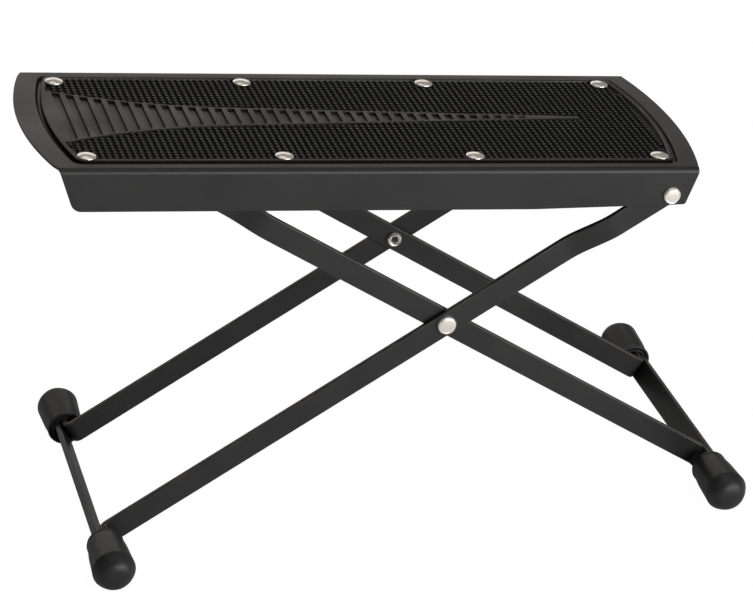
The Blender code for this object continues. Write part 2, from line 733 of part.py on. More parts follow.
def make_central_rivets():
    """The rivets on which the inner frame turns, headed outside and rolled over inside."""
    grip = 2 * BAR_THICKNESS + 3 * GAP
    for side, sign in SIDES.items():
        points = dome(CENTRE_HEAD_RADIUS, CENTRE_HEAD_HEIGHT, 0)
        points.append((CENTRE_SHANK_RADIUS, 0))
        points.append((CENTRE_SHANK_RADIUS, -grip))
        points.append((CENTRE_TAIL_RADIUS, -grip))
        points.append((CENTRE_TAIL_RADIUS, -grip - CENTRE_TAIL_LENGTH / 2))
        points.append(((CENTRE_TAIL_RADIUS + CENTRE_TAIL_BORE) / 2, -grip - CENTRE_TAIL_LENGTH))
        points.append((CENTRE_TAIL_BORE, -grip - CENTRE_TAIL_LENGTH / 2))
        points.append((CENTRE_TAIL_BORE, -grip))
        points.append((0, -grip))
        rivet = turned("central_rivet_" + side, points, outer_pivot, NICKEL)
        rivet.location = (0, sign * (OUTER_LEG_Y + BAR_THICKNESS / 2 + GAP), 0)
        rivet.rotation_euler = (-sign * math.pi / 2, 0, 0)


def make_platform_rivets():
    """The two rivets that carry the platform, and the washers between flange and bar."""
    grip = SHEET_THICKNESS + PIVOT_WASHER_THICKNESS + BAR_THICKNESS + 4 * GAP
    bore = PIVOT_SHANK_RADIUS + GAP
    for side, sign in SIDES.items():
        profile = rivet_profile(PIVOT_HEAD_RADIUS, PIVOT_HEAD_HEIGHT, PIVOT_SHANK_RADIUS, grip,
                                PIVOT_TAIL_RADIUS, PIVOT_TAIL_THICKNESS)
        rivet = turned("platform_rivet_" + side, profile, platform_pivot, NICKEL)
        rivet.location = (0, sign * (HALF_WIDTH + GAP), 0)
        rivet.rotation_euler = (-sign * math.pi / 2, 0, 0)
        ring = [(PIVOT_WASHER_RADIUS, PIVOT_WASHER_THICKNESS), (PIVOT_WASHER_RADIUS, 0), (bore, 0),
                (bore, PIVOT_WASHER_THICKNESS)]
        washer = turned("pivot_washer_" + side, ring, outer_pivot, BLACKENED, closed=True)
        washer.location = (OUTER_ARM, sign * (FLANGE_INSIDE - GAP - PIVOT_WASHER_THICKNESS), 0)
        washer.rotation_euler = (-sign * math.pi / 2, 0, 0)


def make_rod():
    """The catch rod across the inner frame's top."""
    half = ROD_LENGTH / 2
    inner = ROD_RADIUS - ROD_CHAMFER
    points = [(0, half), (inner, half), (ROD_RADIUS, half - ROD_CHAMFER), (ROD_RADIUS, ROD_CHAMFER - half),
              (inner, -half), (0, -half)]
    rod = turned("catch_rod", points, inner_pivot, ZINC)
    rod.location = (INNER_ARM, 0, 0)
    rod.rotation_euler = (math.pi / 2, 0, 0)


# Finishes: colour, roughness and metallic
POWDER_BLACK = ((0.038, 0.036, 0.035), 0.45, 0.0)
RUBBER_MAT = ((0.026, 0.026, 0.027), 0.6, 0.0)
RUBBER_CAP = ((0.030, 0.030, 0.031), 0.5, 0.0)
NICKEL = ((0.62, 0.59, 0.55), 0.22, 1.0)
BLACKENED = ((0.05, 0.05, 0.05), 0.4, 0.6)
ZINC = ((0.45, 0.46, 0.48), 0.35, 1.0)

for old in list(bpy.data.objects):
    bpy.data.objects.remove(old, do_unlink=True)
parts = collection("guitar_footrest")
cutters = collection("cutters")

outer_pivot = pivot_empty("outer_frame_pivot", CENTRE_X, CENTRE_HEIGHT, OUTER_ANGLE)
inner_pivot = pivot_empty("inner_frame_pivot", CENTRE_X, CENTRE_HEIGHT, math.pi - INNER_ANGLE)
platform_pivot = pivot_empty("platform_pivot", PIVOT_X, PIVOT_HEIGHT, -PLATFORM_FALL)
PLATE_ORIGIN = (-PIVOT_U, 0, PIVOT_DEPTH)
RIVET_PLACES = [RIVET_PITCH * (i - (RIVET_COUNT - 1) / 2) for i in range(RIVET_COUNT)]

# Holes for the rivets, shared by the pieces that they pass through
PANEL_HOLE_LENGTH = 2 * (PANEL_UNDERSIDE + RACK_THICKNESS + CUT_OVERRUN)
panel_holes = cylinder_cutters(
    "panel_holes", [(x, sign * RIVET_ROW_WIDTH / 2, 0) for x in RIVET_PLACES for sign in SIDES.values()],
    RIVET_SHANK_RADIUS + GAP, PANEL_HOLE_LENGTH, "Z", platform_pivot)
panel_holes.location = PLATE_ORIGIN
pivot_holes = cylinder_cutters("pivot_holes", [(0, 0, 0)], PIVOT_SHANK_RADIUS + GAP, PLATE_WIDTH + CUT_OVERRUN,
                               "Y", platform_pivot)
FRAME_HOLE_LENGTH = OUTER_FACE_WIDTH + 2 * CUT_OVERRUN
outer_holes = cylinder_cutters("outer_frame_holes", [(0, 0, 0)], CENTRE_SHANK_RADIUS + GAP,
                               FRAME_HOLE_LENGTH, "Y", outer_pivot)
outer_top_holes = cylinder_cutters("outer_top_holes", [(OUTER_ARM, 0, 0)], PIVOT_SHANK_RADIUS + GAP,
                                   PLATE_WIDTH, "Y", outer_pivot)
inner_holes = cylinder_cutters("inner_frame_holes", [(0, 0, 0)], CENTRE_SHANK_RADIUS + GAP,
                               FRAME_HOLE_LENGTH, "Y", inner_pivot)
rod_holes = cylinder_cutters("rod_holes", [(INNER_ARM, 0, 0)], ROD_RADIUS + GAP, FRAME_HOLE_LENGTH, "Y",
                             inner_pivot)

make_top_plate()
make_mat()
make_mat_rivets()
for side_name, side_sign in SIDES.items():
    make_rack(side_name, side_sign)
outer_path = frame_path(OUTER_ARM, OUTER_LEG, OUTER_LEG_Y, OUTER_TOP_Y, OUTER_JOGGLE_FROM_TOP, OUTER_JOGGLE_RUN)
inner_path = frame_path(INNER_ARM, INNER_LEG, INNER_LEG_Y, INNER_TOP_Y, INNER_JOGGLE_FROM_TOP, INNER_JOGGLE_RUN)
cut(make_frame("outer_leg_frame", outer_path, outer_pivot, outer_holes), outer_top_holes)
cut(make_frame("inner_leg_frame", inner_path, inner_pivot, inner_holes), rod_holes)
make_caps("outer", OUTER_LEG, outer_pivot)
make_caps("inner", INNER_LEG, inner_pivot)
make_central_rivets()
make_platform_rivets()
make_rod()
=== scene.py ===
# %% [markdown]
# # A folding footrest for a guitarist
# A seated guitarist rests one foot on it. A sheet-steel platform with a rubber mat stands on two leg
# frames, each bent from one flat bar, that cross like scissors. The solids come as a frame with
# joints, and each cell below dresses one of them, in metres, where the joints say it is.

# %% Load the frame
import json
import math

import bmesh
import bpy
from mathutils import Matrix, Vector


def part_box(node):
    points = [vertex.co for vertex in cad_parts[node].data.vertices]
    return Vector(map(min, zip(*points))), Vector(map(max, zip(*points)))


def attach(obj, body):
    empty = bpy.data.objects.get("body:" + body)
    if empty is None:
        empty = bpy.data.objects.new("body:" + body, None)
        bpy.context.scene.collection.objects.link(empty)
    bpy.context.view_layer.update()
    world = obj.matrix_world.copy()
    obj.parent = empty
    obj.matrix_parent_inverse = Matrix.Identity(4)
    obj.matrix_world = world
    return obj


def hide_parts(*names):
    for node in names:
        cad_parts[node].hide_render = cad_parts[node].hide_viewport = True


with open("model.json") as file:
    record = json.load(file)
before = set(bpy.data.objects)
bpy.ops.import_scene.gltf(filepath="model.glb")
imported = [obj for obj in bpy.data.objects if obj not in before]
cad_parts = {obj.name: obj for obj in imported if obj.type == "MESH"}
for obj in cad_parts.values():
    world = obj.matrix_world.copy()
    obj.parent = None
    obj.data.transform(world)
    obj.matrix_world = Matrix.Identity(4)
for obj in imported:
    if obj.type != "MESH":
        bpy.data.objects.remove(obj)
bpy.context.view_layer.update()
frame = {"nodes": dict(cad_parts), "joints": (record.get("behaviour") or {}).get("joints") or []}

# %% [markdown]
# ## Where the pieces are
# The three moving assemblies each have their own flat drawing: the platform, the outer legs and the
# inner legs. A matrix lays each drawing in its place, so that a piece is modelled flat and straight,
# and only its finished mesh is turned. The matrices come from the joints and from the solids' boxes.

# %% Lay out the three drawings
SIDES = {"near": -1, "far": 1}
PLATE_SIDE_LENGTH = 0.2994
PIVOT_U = PLATE_SIDE_LENGTH / 2 - 0.0116
PIVOT_DEPTH = 0.0134

hinges = {joint["name"]: Vector(joint["pos_m"]) for joint in frame["joints"]}
CROSSING = hinges["leg_fold"]
PLATFORM_HINGE = hinges["platform_tilt"]


def middle(node):
    """The middle of a solid's box, in the plane that the footrest is mirrored about."""
    low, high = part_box(node)
    return Vector(((low.x + high.x) / 2, 0, (low.z + high.z) / 2))


def drawing(origin, angle):
    """The matrix of a flat drawing whose X rises by this angle from the origin."""
    return Matrix.Translation(origin) @ Matrix.Rotation(-angle, 4, "Y")


outer_foot = middle("outer_foot_cap_near")
inner_foot = middle("inner_foot_cap_near")
rod_middle = middle("catch_rod")
OUTER_ARM = (PLATFORM_HINGE - CROSSING).length
OUTER_LEG = (CROSSING - outer_foot).length
INNER_ARM = (rod_middle - CROSSING).length
INNER_LEG = (CROSSING - inner_foot).length
outer_rise = math.atan2(PLATFORM_HINGE.z - CROSSING.z, PLATFORM_HINGE.x - CROSSING.x)
inner_rise = math.atan2(rod_middle.z - CROSSING.z, rod_middle.x - CROSSING.x)
fall = math.atan2(rod_middle.z - PLATFORM_HINGE.z, PLATFORM_HINGE.x - rod_middle.x)
OUTER = drawing(CROSSING, outer_rise)
INNER = drawing(CROSSING, inner_rise)
PLATE = drawing(PLATFORM_HINGE, -fall) @ Matrix.Translation((-PIVOT_U, 0, PIVOT_DEPTH))
print("arms", round(OUTER_ARM, 4), round(INNER_ARM, 4), "legs", round(OUTER_LEG, 4), round(INNER_LEG, 4),
      "fall", round(math.degrees(fall), 2))

# %% [markdown]
# ## Finishes
# Powder coat is a melted plastic skin: nearly black, warm where the light lies on it, with a very
# fine orange peel. Moulded rubber is duller and carries a little dust. Both vary slowly over the
# surface, so one shader group makes that variation and each finish sets its own values. Nickel gets
# its own smudges. The groups give out colours, a roughness and a height, and the shaders stay
# outside them.

# %% A group for slow mottling and fine grain


def node_group(name, inputs, outputs):
    """An empty shader group with its sockets, and its two end nodes."""
    group = bpy.data.node_groups.new(name, "ShaderNodeTree")
    for label, kind, value in inputs:
        socket = group.interface.new_socket(label, in_out="INPUT", socket_type="NodeSocket" + kind)
        socket.default_value = value
    for label, kind in outputs:
        group.interface.new_socket(label, in_out="OUTPUT", socket_type="NodeSocket" + kind)
    return group, group.nodes.new("NodeGroupInput"), group.nodes.new("NodeGroupOutput")


def link(tree, *pairs):
    """Joins pairs of sockets."""
    for start, end in pairs:
        tree.links.new(start, end)


def noise(tree, scale, detail, where):
    """A noise texture on the piece's own coordinates."""
    made = tree.nodes.new("ShaderNodeTexNoise")
    made.inputs["Detail"].default_value = detail
    link(tree, (where, made.inputs["Vector"]), (scale, made.inputs["Scale"]))
    return made.outputs["Fac"]


def remap(tree, value, low, high, to_low, to_high):
    """A clamped change of range. Each end is a number or a socket."""
    made = tree.nodes.new("ShaderNodeMapRange")
    link(tree, (value, made.inputs["Value"]))
    for label, end in (("From Min", low), ("From Max", high), ("To Min", to_low), ("To Max", to_high)):
        if isinstance(end, (int, float)):
            made.inputs[label].default_value = end
        else:
            link(tree, (end, made.inputs[label]))
    return made.outputs["Result"]


def mix_colour(tree, share, first, second):
    """A mix of two colours by a share."""
    made = tree.nodes.new("ShaderNodeMix")
    made.data_type = "RGBA"
    link(tree, (share, made.inputs["Factor"]), (first, made.inputs["A"]), (second, made.inputs["B"]))
    return made.outputs["Result"]


mottle, mottle_in, mottle_out = node_group(
    "mottled_skin",
    [("Colour", "Color", (0.05, 0.05, 0.05, 1)), ("Rubbed Colour", "Color", (0.1, 0.1, 0.1, 1)),
     ("Patch Scale", "Float", 40), ("Grain Scale", "Float", 900), ("Roughness Low", "Float", 0.4),
     ("Roughness High", "Float", 0.5)],
    [("Colour", "Color"), ("Roughness", "Float"), ("Height", "Float")])
here = mottle.nodes.new("ShaderNodeTexCoord").outputs["Object"]
patches = noise(mottle, mottle_in.outputs["Patch Scale"], 4, here)
grain = noise(mottle, mottle_in.outputs["Grain Scale"], 2, here)
rubbed = remap(mottle, patches, 0.35, 0.75, 0, 1)
colour = mix_colour(mottle, rubbed, mottle_in.outputs["Colour"], mottle_in.outputs["Rubbed Colour"])
roughness = remap(mottle, patches, 0.3, 0.7, mottle_in.outputs["Roughness Low"],
                  mottle_in.outputs["Roughness High"])
link(mottle, (colour, mottle_out.inputs["Colour"]), (roughness, mottle_out.inputs["Roughness"]),
     (grain, mottle_out.inputs["Height"]))


# Painted highlight: a brown-grey colour, in patches, along the rounded corners of a bar's narrow edges, where
# they catch the light.
corner_rub, highlight_in, highlight_out = node_group(
    "corner_rub",
    [("Colour", "Color", (0.01, 0.01, 0.01, 1)), ("Highlight Colour", "Color", (0.1, 0.08, 0.06, 1)),
     ("Edge Direction", "Vector", (0, 0, 1))],
    [("Colour", "Color")])
facing = corner_rub.nodes.new("ShaderNodeVectorMath")
facing.operation = "DOT_PRODUCT"
facing_size = corner_rub.nodes.new("ShaderNodeMath")
facing_size.operation = "ABSOLUTE"
surface = corner_rub.nodes.new("ShaderNodeNewGeometry")
highlight_where = corner_rub.nodes.new("ShaderNodeTexCoord").outputs["Object"]
highlight_patch_scale = corner_rub.nodes.new("ShaderNodeValue")
highlight_patch_scale.outputs[0].default_value = 120
link(corner_rub, (surface.outputs["True Normal"], facing.inputs[0]),
     (highlight_in.outputs["Edge Direction"], facing.inputs[1]), (facing.outputs["Value"], facing_size.inputs[0]))
leaves_face = remap(corner_rub, facing_size.outputs[0], 0.2, 0.45, 0, 1)
reaches_edge = remap(corner_rub, facing_size.outputs[0], 0.85, 0.97, 1, 0)
patchy = remap(corner_rub, noise(corner_rub, highlight_patch_scale.outputs[0], 3, highlight_where), 0.42, 0.62, 0.15, 1)
on_corner = corner_rub.nodes.new("ShaderNodeMath")
on_corner.operation = "MULTIPLY"
highlight_share = corner_rub.nodes.new("ShaderNodeMath")
highlight_share.operation = "MULTIPLY"
link(corner_rub, (leaves_face, on_corner.inputs[0]), (reaches_edge, on_corner.inputs[1]),
     (on_corner.outputs[0], highlight_share.inputs[0]), (patchy, highlight_share.inputs[1]))
highlighted_colour = mix_colour(corner_rub, highlight_share.outputs[0], highlight_in.outputs["Colour"],
                           highlight_in.outputs["Highlight Colour"])
link(corner_rub, (highlighted_colour, highlight_out.inputs["Colour"]))


def paint_edge_highlight(coat, name, highlight_colour, direction):
    """A copy of a coat with a painted highlight, brown-grey and patchy, along the corners beside the edges
    that face a direction.
    """
    made = coat.copy()
    made.name = name
    tree = made.node_tree
    shader = tree.nodes["Principled BSDF"]
    highlight_node = tree.nodes.new("ShaderNodeGroup")
    highlight_node.node_tree = corner_rub
    highlight_node.inputs["Highlight Colour"].default_value = (*highlight_colour, 1)
    highlight_node.inputs["Edge Direction"].default_value = direction
    skin_colour = shader.inputs["Base Color"].links[0].from_socket
    link(tree, (skin_colour, highlight_node.inputs["Colour"]), (highlight_node.outputs["Colour"], shader.inputs["Base Color"]))
    return made


BUMP_DISTANCE = 0.0002


def finish(name, colour, rubbed, patch_scale, grain_scale, rough, bump, metallic=0.0, level=0.4):
    """A Principled material whose colour, roughness and height come from the mottled skin."""
    made = bpy.data.materials.new(name)
    made.use_nodes = True
    tree = made.node_tree
    shader = tree.nodes["Principled BSDF"]
    skin = tree.nodes.new("ShaderNodeGroup")
    skin.node_tree = mottle
    skin.inputs["Colour"].default_value = (*colour, 1)
    skin.inputs["Rubbed Colour"].default_value = (*rubbed, 1)
    skin.inputs["Patch Scale"].default_value = patch_scale
    skin.inputs["Grain Scale"].default_value = grain_scale
    skin.inputs["Roughness Low"].default_value = rough[0]
    skin.inputs["Roughness High"].default_value = rough[1]
    relief = tree.nodes.new("ShaderNodeBump")
    relief.inputs["Strength"].default_value = bump
    relief.inputs["Distance"].default_value = BUMP_DISTANCE
    shader.inputs["Metallic"].default_value = metallic
    shader.inputs["Specular IOR Level"].default_value = level
    link(tree, (skin.outputs["Colour"], shader.inputs["Base Color"]),
         (skin.outputs["Roughness"], shader.inputs["Roughness"]),
         (skin.outputs["Height"], relief.inputs["Height"]),
         (relief.outputs["Normal"], shader.inputs["Normal"]))
    return made


PLATFORM_COAT = finish("platform_coat", (0.011, 0.0105, 0.0105), (0.017, 0.0155, 0.015), 30, 1500,
                       (0.40, 0.48), 0.12)
BAR_COAT = finish("bar_coat", (0.013, 0.013, 0.013), (0.018, 0.0175, 0.017), 40, 1500, (0.38, 0.46), 0.12)
MAT_RUBBER = finish("mat_rubber", (0.005, 0.005, 0.005), (0.008, 0.0078, 0.0075), 60, 1300,
                    (0.52, 0.64), 0.2, level=0.25)
# Painted highlight: a lighter rubber on the pyramids' tops, where the light falls on them.
LIT_TOP_RUBBER = finish("rubbed_rubber", (0.018, 0.0171, 0.016), (0.027, 0.0257, 0.024), 60, 1300,
                       (0.42, 0.54), 0.2)
# Painted shadow: a near-black rubber for the rim's outer wall, which stands in the shadowed gap beside the
# panel's step.
SHADOW_WALL_RUBBER = finish("edge_rubber", (0.0015, 0.0015, 0.0015), (0.003, 0.0028, 0.0027), 60, 1300,
                     (0.6, 0.7), 0.2, level=0.08)
LADDER_RUBBER = finish("ladder_rubber", (0.009, 0.0084, 0.008), (0.015, 0.0138, 0.013), 50, 1300,
                       (0.40, 0.52), 0.2)
SLOT_RUBBER = finish("slot_rubber", (0.008, 0.0075, 0.007), (0.012, 0.011, 0.0105), 50, 1300,
                     (0.42, 0.54), 0.2)
CAP_RUBBER = finish("cap_rubber", (0.016, 0.016, 0.016), (0.024, 0.023, 0.0222), 120, 1700,
                    (0.37, 0.49), 0.25, level=0.3)
NICKEL = finish("bright_nickel", (1.0, 0.95, 0.87), (0.90, 0.84, 0.75), 150, 900,
                (0.20, 0.28), 0.03, metallic=0.75)
ZINC = finish("dull_zinc", (0.45, 0.46, 0.48), (0.36, 0.37, 0.38), 90, 700, (0.32, 0.46), 0.1, metallic=1)
DARK_STEEL = finish("dark_steel", (0.055, 0.055, 0.055), (0.09, 0.09, 0.09), 90, 700,
                    (0.35, 0.5), 0.1, metallic=1)
print("finishes", sorted(m.name for m in bpy.data.materials if m.use_nodes))

# %% [markdown]
# ## From a rough piece to a finished one
# A piece starts as a simple open mesh with modifiers, such as Mirror, Solidify and Bevel. When it is
# right, the evaluated result is kept as a plain mesh, moved from its drawing to its place, and put on
# its body, and the solids that it stands for are hidden. Its object stays at the origin.

# %% Helpers that every piece uses


def rough(name, bm, *materials):
    """An object made of a bmesh, with its finishes."""
    mesh = bpy.data.meshes.new(name)
    bm.to_mesh(mesh)
    bm.free()
    for material in materials:
        mesh.materials.append(material)
    made = bpy.data.objects.new(name, mesh)
    bpy.context.scene.collection.objects.link(made)
    return made


def modify(piece, kind, **values):
    """Adds a modifier with its values."""
    made = piece.modifiers.new(kind.lower(), kind)
    for label, value in values.items():
        setattr(made, label, value)
    return made


def plain_mesh(piece, place):
    """What a piece looks like with its modifiers, as a mesh in its place."""
    bpy.context.view_layer.update()
    graph = bpy.context.evaluated_depsgraph_get()
    mesh = bpy.data.meshes.new_from_object(piece.evaluated_get(graph))
    mesh.transform(place)
    bpy.data.objects.remove(piece)
    return mesh


def dress(name, rough_piece, place, body, nodes, sharp=35):
    """The finished piece: its modifiers made real, in its place, on its body, its flats shaded flat."""
    mesh = plain_mesh(rough_piece, place)
    mesh.shade_smooth()
    mesh.set_sharp_from_angle(angle=math.radians(sharp))
    shaded = bpy.data.objects.new(name, mesh)
    bpy.context.scene.collection.objects.link(shaded)
    modify(shaded, "WEIGHTED_NORMAL", keep_sharp=True)
    mesh = plain_mesh(shaded, Matrix.Identity(4))
    made = bpy.data.objects.new(name, mesh)
    bpy.context.scene.collection.objects.link(made)
    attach(made, body)
    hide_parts(*nodes)
    mesh.calc_loop_triangles()
    print(name, len(mesh.loop_triangles), "triangles")
    return made


def ring(bm, points):
    """Vertices of a row of points."""
    return [bm.verts.new(point) for point in points]


def bridge(bm, first, second, closed=False):
    """Quads between two rows of vertices."""
    count = len(first)
    for i in range(count if closed else count - 1):
        j = (i + 1) % count
        bm.faces.new((first[i], first[j], second[j], second[i]))


def ease(share):
    """Goes from 0 to 1 with a soft start and end."""
    return share * share * (3 - 2 * share)


# %% [markdown]
# ## The platform
# One sheet of steel: a flat border round a sunk panel, with its two long edges folded down into
# flanges, and bowed ends that stay open. It is drawn as half of its top skin, ring inside ring, then
# mirrored, given the sheet's thickness, and its cut edges are eased. The folds and the step into the
# panel have many small faces, because the light on them draws the platform's shape.

# %% Outline of the platform
HALF_WIDTH = 0.1165 / 2
HALF_SIDE = PLATE_SIDE_LENGTH / 2
END_BULGES = {"left": 0.0097, "right": 0.0075}
PANEL_BULGE = 0.0086
SHEET = 0.0012
SIDE_BORDER = 0.0068
END_BORDER = 0.0095
CORNER = 0.0050
CORNER_CUTS = {"left": 0.0006, "right": 0.0001}
PANEL_DEPTH = 0.0016
FOLD_RADIUS = 0.0026
END_POINTS = 22
CORNER_POINTS = 8
SIDE_POINTS = 14


def end_arc(bulge):
    """The radius and the middle of an end that bows out by this much."""
    radius = (HALF_WIDTH ** 2 + bulge ** 2) / (2 * bulge)
    return radius, HALF_SIDE + bulge - radius


PANEL_ARC, PANEL_MIDDLE = end_arc(PANEL_BULGE)


def rounded_end(side_inset, end_inset, corner):
    """A quarter of the panel's outline, inset, from the middle of its end round the corner."""
    side, arc = HALF_WIDTH - side_inset, PANEL_ARC - end_inset
    fillet = PANEL_MIDDLE + math.sqrt((arc - corner) ** 2 - (side - corner) ** 2)
    last = math.asin((side - corner) / (arc - corner))
    angles = [last * i / END_POINTS for i in range(END_POINTS)]
    quarter = [(PANEL_MIDDLE + arc * math.cos(angle), arc * math.sin(angle)) for angle in angles]
    for i in range(CORNER_POINTS + 1):
        angle = last + (math.pi / 2 - last) * i / CORNER_POINTS
        quarter.append((fillet + corner * math.cos(angle), side - corner + corner * math.sin(angle)))
    return quarter


def folded_end(end):
    """A quarter of the sheet's edge, from the middle of its end to the fold, eased back near it."""
    arc, middle = end_arc(END_BULGES[end])
    side = HALF_WIDTH - FOLD_RADIUS
    rows = [(side - CORNER) * i / END_POINTS for i in range(END_POINTS)]
    rows += [side - CORNER + 2 * CORNER * i / CORNER_POINTS for i in range(CORNER_POINTS // 2 + 1)]
    quarter = []
    for y in rows:
        near_fold = max(y - side + CORNER, 0) / CORNER
        quarter.append((middle + math.sqrt(arc ** 2 - y ** 2) - CORNER_CUTS[end] * near_fold ** 2, y))
    last_x = quarter[-1][0]
    for i in range(1, CORNER_POINTS // 2 + 1):
        quarter.append((last_x - 2 * CORNER * i / CORNER_POINTS, side))
    return quarter


def half_outline(left_quarter, right_quarter):
    """Half of an outline, from the left end round the near side to the right end."""
    left = [(-x, -y) for x, y in left_quarter]
    right = [(x, -y) for x, y in right_quarter]
    gap = right[-1][0] - left[-1][0]
    run = [(left[-1][0] + gap * i / SIDE_POINTS, left[-1][1]) for i in range(1, SIDE_POINTS)]
    return left + run + right[::-1]


def outline(side_inset, end_inset, corner):
    """Half of the panel's outline, inset from the platform's sides and ends."""
    quarter = rounded_end(side_inset, end_inset, corner)
    return half_outline(quarter, quarter)


def at_height(points, height):
    """A flat outline raised to a height."""
    return [(x, y, height) for x, y in points]


print("outline of", len(outline(0, 0, CORNER)), "points")

# %% The platform's sheet
FOLD_STEPS = 9
FLANGE_DEPTH = 0.0203
FLANGE_LOW_DEPTH = 0.0182
FLANGE_TAPER = 0.078
FLANGE_LEFT_INSET, FLANGE_LEFT_SLANT, FLANGE_LEFT_CORNER = 0.0011, 0.0066, 0.0052
FLANGE_RIGHT_INSET, FLANGE_RIGHT_SLANT, FLANGE_RIGHT_CORNER = 0.0001, 0.0046, 0.0015
STEP_RUN = 0.0010
STEP_EASE = 0.0004
STEP_ROWS = 8
SHEET_EDGE = 0.00032
CUT_ANGLE = math.radians(50)
SEAM = 0.00001


def rounded_corner(before, corner, after, radius):
    """Points of a fillet between two straight runs."""
    before, corner, after = (Vector(point) for point in (before, corner, after))
    back, ahead = (before - corner).normalized(), (after - corner).normalized()
    half = back.angle(ahead) / 2
    centre = corner + (back + ahead).normalized() * radius / math.sin(half)
    start = corner + back * radius / math.tan(half) - centre
    end = corner + ahead * radius / math.tan(half) - centre
    shares = [i / CORNER_POINTS for i in range(CORNER_POINTS + 1)]
    return [tuple(centre + (start * (1 - share) + end * share).normalized() * radius) for share in shares]


def flange_edge(start, end):
    """The flange's free edge from its right top corner round to its left one, as x and depth."""
    right_low = (end - FLANGE_RIGHT_SLANT, FLANGE_LOW_DEPTH)
    left_low = (start + FLANGE_LEFT_SLANT, FLANGE_DEPTH)
    bend = (end - FLANGE_TAPER, FLANGE_DEPTH)
    points = rounded_corner((end, FOLD_RADIUS), right_low, bend, FLANGE_RIGHT_CORNER)
    return points + [bend] + rounded_corner(bend, left_low, (start, FOLD_RADIUS), FLANGE_LEFT_CORNER)


bm = bmesh.new()
sheet_edge = half_outline(folded_end("left"), folded_end("right"))
outer_row = ring(bm, at_height(sheet_edge, 0))
last_row = outer_row
for i in range(STEP_ROWS + 1):
    share = i / STEP_ROWS
    inset = -STEP_EASE + (STEP_RUN + STEP_EASE) * share
    rows = outline(SIDE_BORDER + inset, END_BORDER + inset, CORNER - inset / 2)
    next_row = ring(bm, at_height(rows, -PANEL_DEPTH * ease(share)))
    bridge(bm, last_row, next_row)
    last_row = next_row
bm.faces.new(last_row)
corner_at = END_POINTS + CORNER_POINTS // 2
fold_row = outer_row[corner_at:len(outer_row) - corner_at]
start_x, end_x = fold_row[0].co.x, fold_row[-1].co.x
shares = [(vertex.co.x - start_x) / (end_x - start_x) for vertex in fold_row]
for i in range(1, FOLD_STEPS + 1):
    angle = math.pi / 2 * i / FOLD_STEPS
    y = -HALF_WIDTH + FOLD_RADIUS * (1 - math.sin(angle))
    depth = FOLD_RADIUS * (1 - math.cos(angle))
    left_x = start_x + FLANGE_LEFT_INSET * i / FOLD_STEPS
    right_x = end_x - FLANGE_RIGHT_INSET * i / FOLD_STEPS
    next_row = ring(bm, [(left_x + (right_x - left_x) * share, y, -depth) for share in shares])
    bridge(bm, next_row, fold_row)
    fold_row = next_row
rim = ring(bm, [(x, -HALF_WIDTH, -depth) for x, depth in flange_edge(left_x, right_x)])
bm.faces.new(fold_row[::-1] + rim[::-1])
bmesh.ops.recalc_face_normals(bm, faces=bm.faces)
sheet = rough("platform_sheet", bm, PLATFORM_COAT)
modify(sheet, "MIRROR", use_axis=(False, True, False), merge_threshold=SEAM)
modify(sheet, "SOLIDIFY", thickness=SHEET, offset=-1, use_even_offset=True)
modify(sheet, "BEVEL", width=SHEET_EDGE, segments=2, limit_method="ANGLE", angle_limit=CUT_ANGLE)
dress("platform_sheet", sheet, PLATE, "platform", ["top_plate"])

# %% [markdown]
# ## The rubber mat
# The mat lies in the sunk panel. It has a smooth raised rim, a field of small pyramids in straight
# rows, and a tapering ladder down the middle. The body of the mat is rings inside rings, as the
# platform is.

# %% Body and rim of the mat
MAT_GAP, END_GAP = 0.0003, 0.0011
MAT_SIDE = SIDE_BORDER + STEP_RUN + MAT_GAP
MAT_END = END_BORDER + STEP_RUN + END_GAP
MAT_BASE = MAT_GAP - PANEL_DEPTH
FLOOR = -0.0005
CREST = 0.0008
RIM_PROFILE = [(0, MAT_BASE), (0, CREST - 0.0006), (0.00015, CREST - 0.0002), (0.0005, CREST),
               (0.0018, CREST), (0.0021, CREST - 0.0002), (0.0023, CREST - 0.0007), (0.0024, FLOOR)]
MAT_CORNER = CORNER - 0.0009
WALL_BANDS = 2

bm = bmesh.new()
rows = [ring(bm, at_height(outline(MAT_SIDE + inset, MAT_END + inset, MAT_CORNER - inset / 2), height))
        for inset, height in RIM_PROFILE]
bm.faces.new(rows[0][::-1])
for first, second in zip(rows, rows[1:]):
    bridge(bm, first, second)
bm.faces.new(rows[-1])
wall_faces = WALL_BANDS * (len(rows[0]) - 1)
bmesh.ops.recalc_face_normals(bm, faces=bm.faces)
body = rough("mat_body", bm, LADDER_RUBBER, MAT_RUBBER, SHADOW_WALL_RUBBER)
faces = body.data.polygons
# The floor takes the field's near-black rubber, which also paints the shade in the groove inside the rim.
faces[len(faces) - 1].material_index = 1
# The rim's outer wall gets the near-black rubber: a painted shadow in the gap.
for i in range(1, 1 + wall_faces):
    faces[i].material_index = 2
modify(body, "MIRROR", use_axis=(False, True, False), merge_threshold=SEAM)
dress("mat_body", body, PLATE, "platform", ["rubber_mat"])

# %% [markdown]
# The ladder flares out to nearly the mat's full width at the high end, where it meets the rim in a
# smooth crescent. It is drawn as a flat comb: a grid of stations along it, with the cells of the
# slots left open. A Solidify modifier then makes the slots' walls, and a Bevel eases their edges. The
# same stations without openings make the thin floor of the slots, which is smoother than the field.

# %% The ladder
LADDER_SHIFT = 0.0016
LADDER_TOP = 0.00082
TIP = 0.110
STRAIGHT_START, STRAIGHT_HALF, TIP_HALF = -0.140, 0.0149, 0.0007
FLARE_END, FLARE_HALF, FLARE_POWER = -0.056, 0.0146, 2.25
SLOT_START, SLOT_PITCH, SLOT_COUNT, SLOT_WIDTH = -0.1377, 0.00609, 37, 0.0035
RAIL = 0.0012
ACROSS = 12
RIM_OVERLAP = 0.0004
CRESCENT = 0.0030
SKIN = 0.0001
LADDER_EDGE = 0.00022


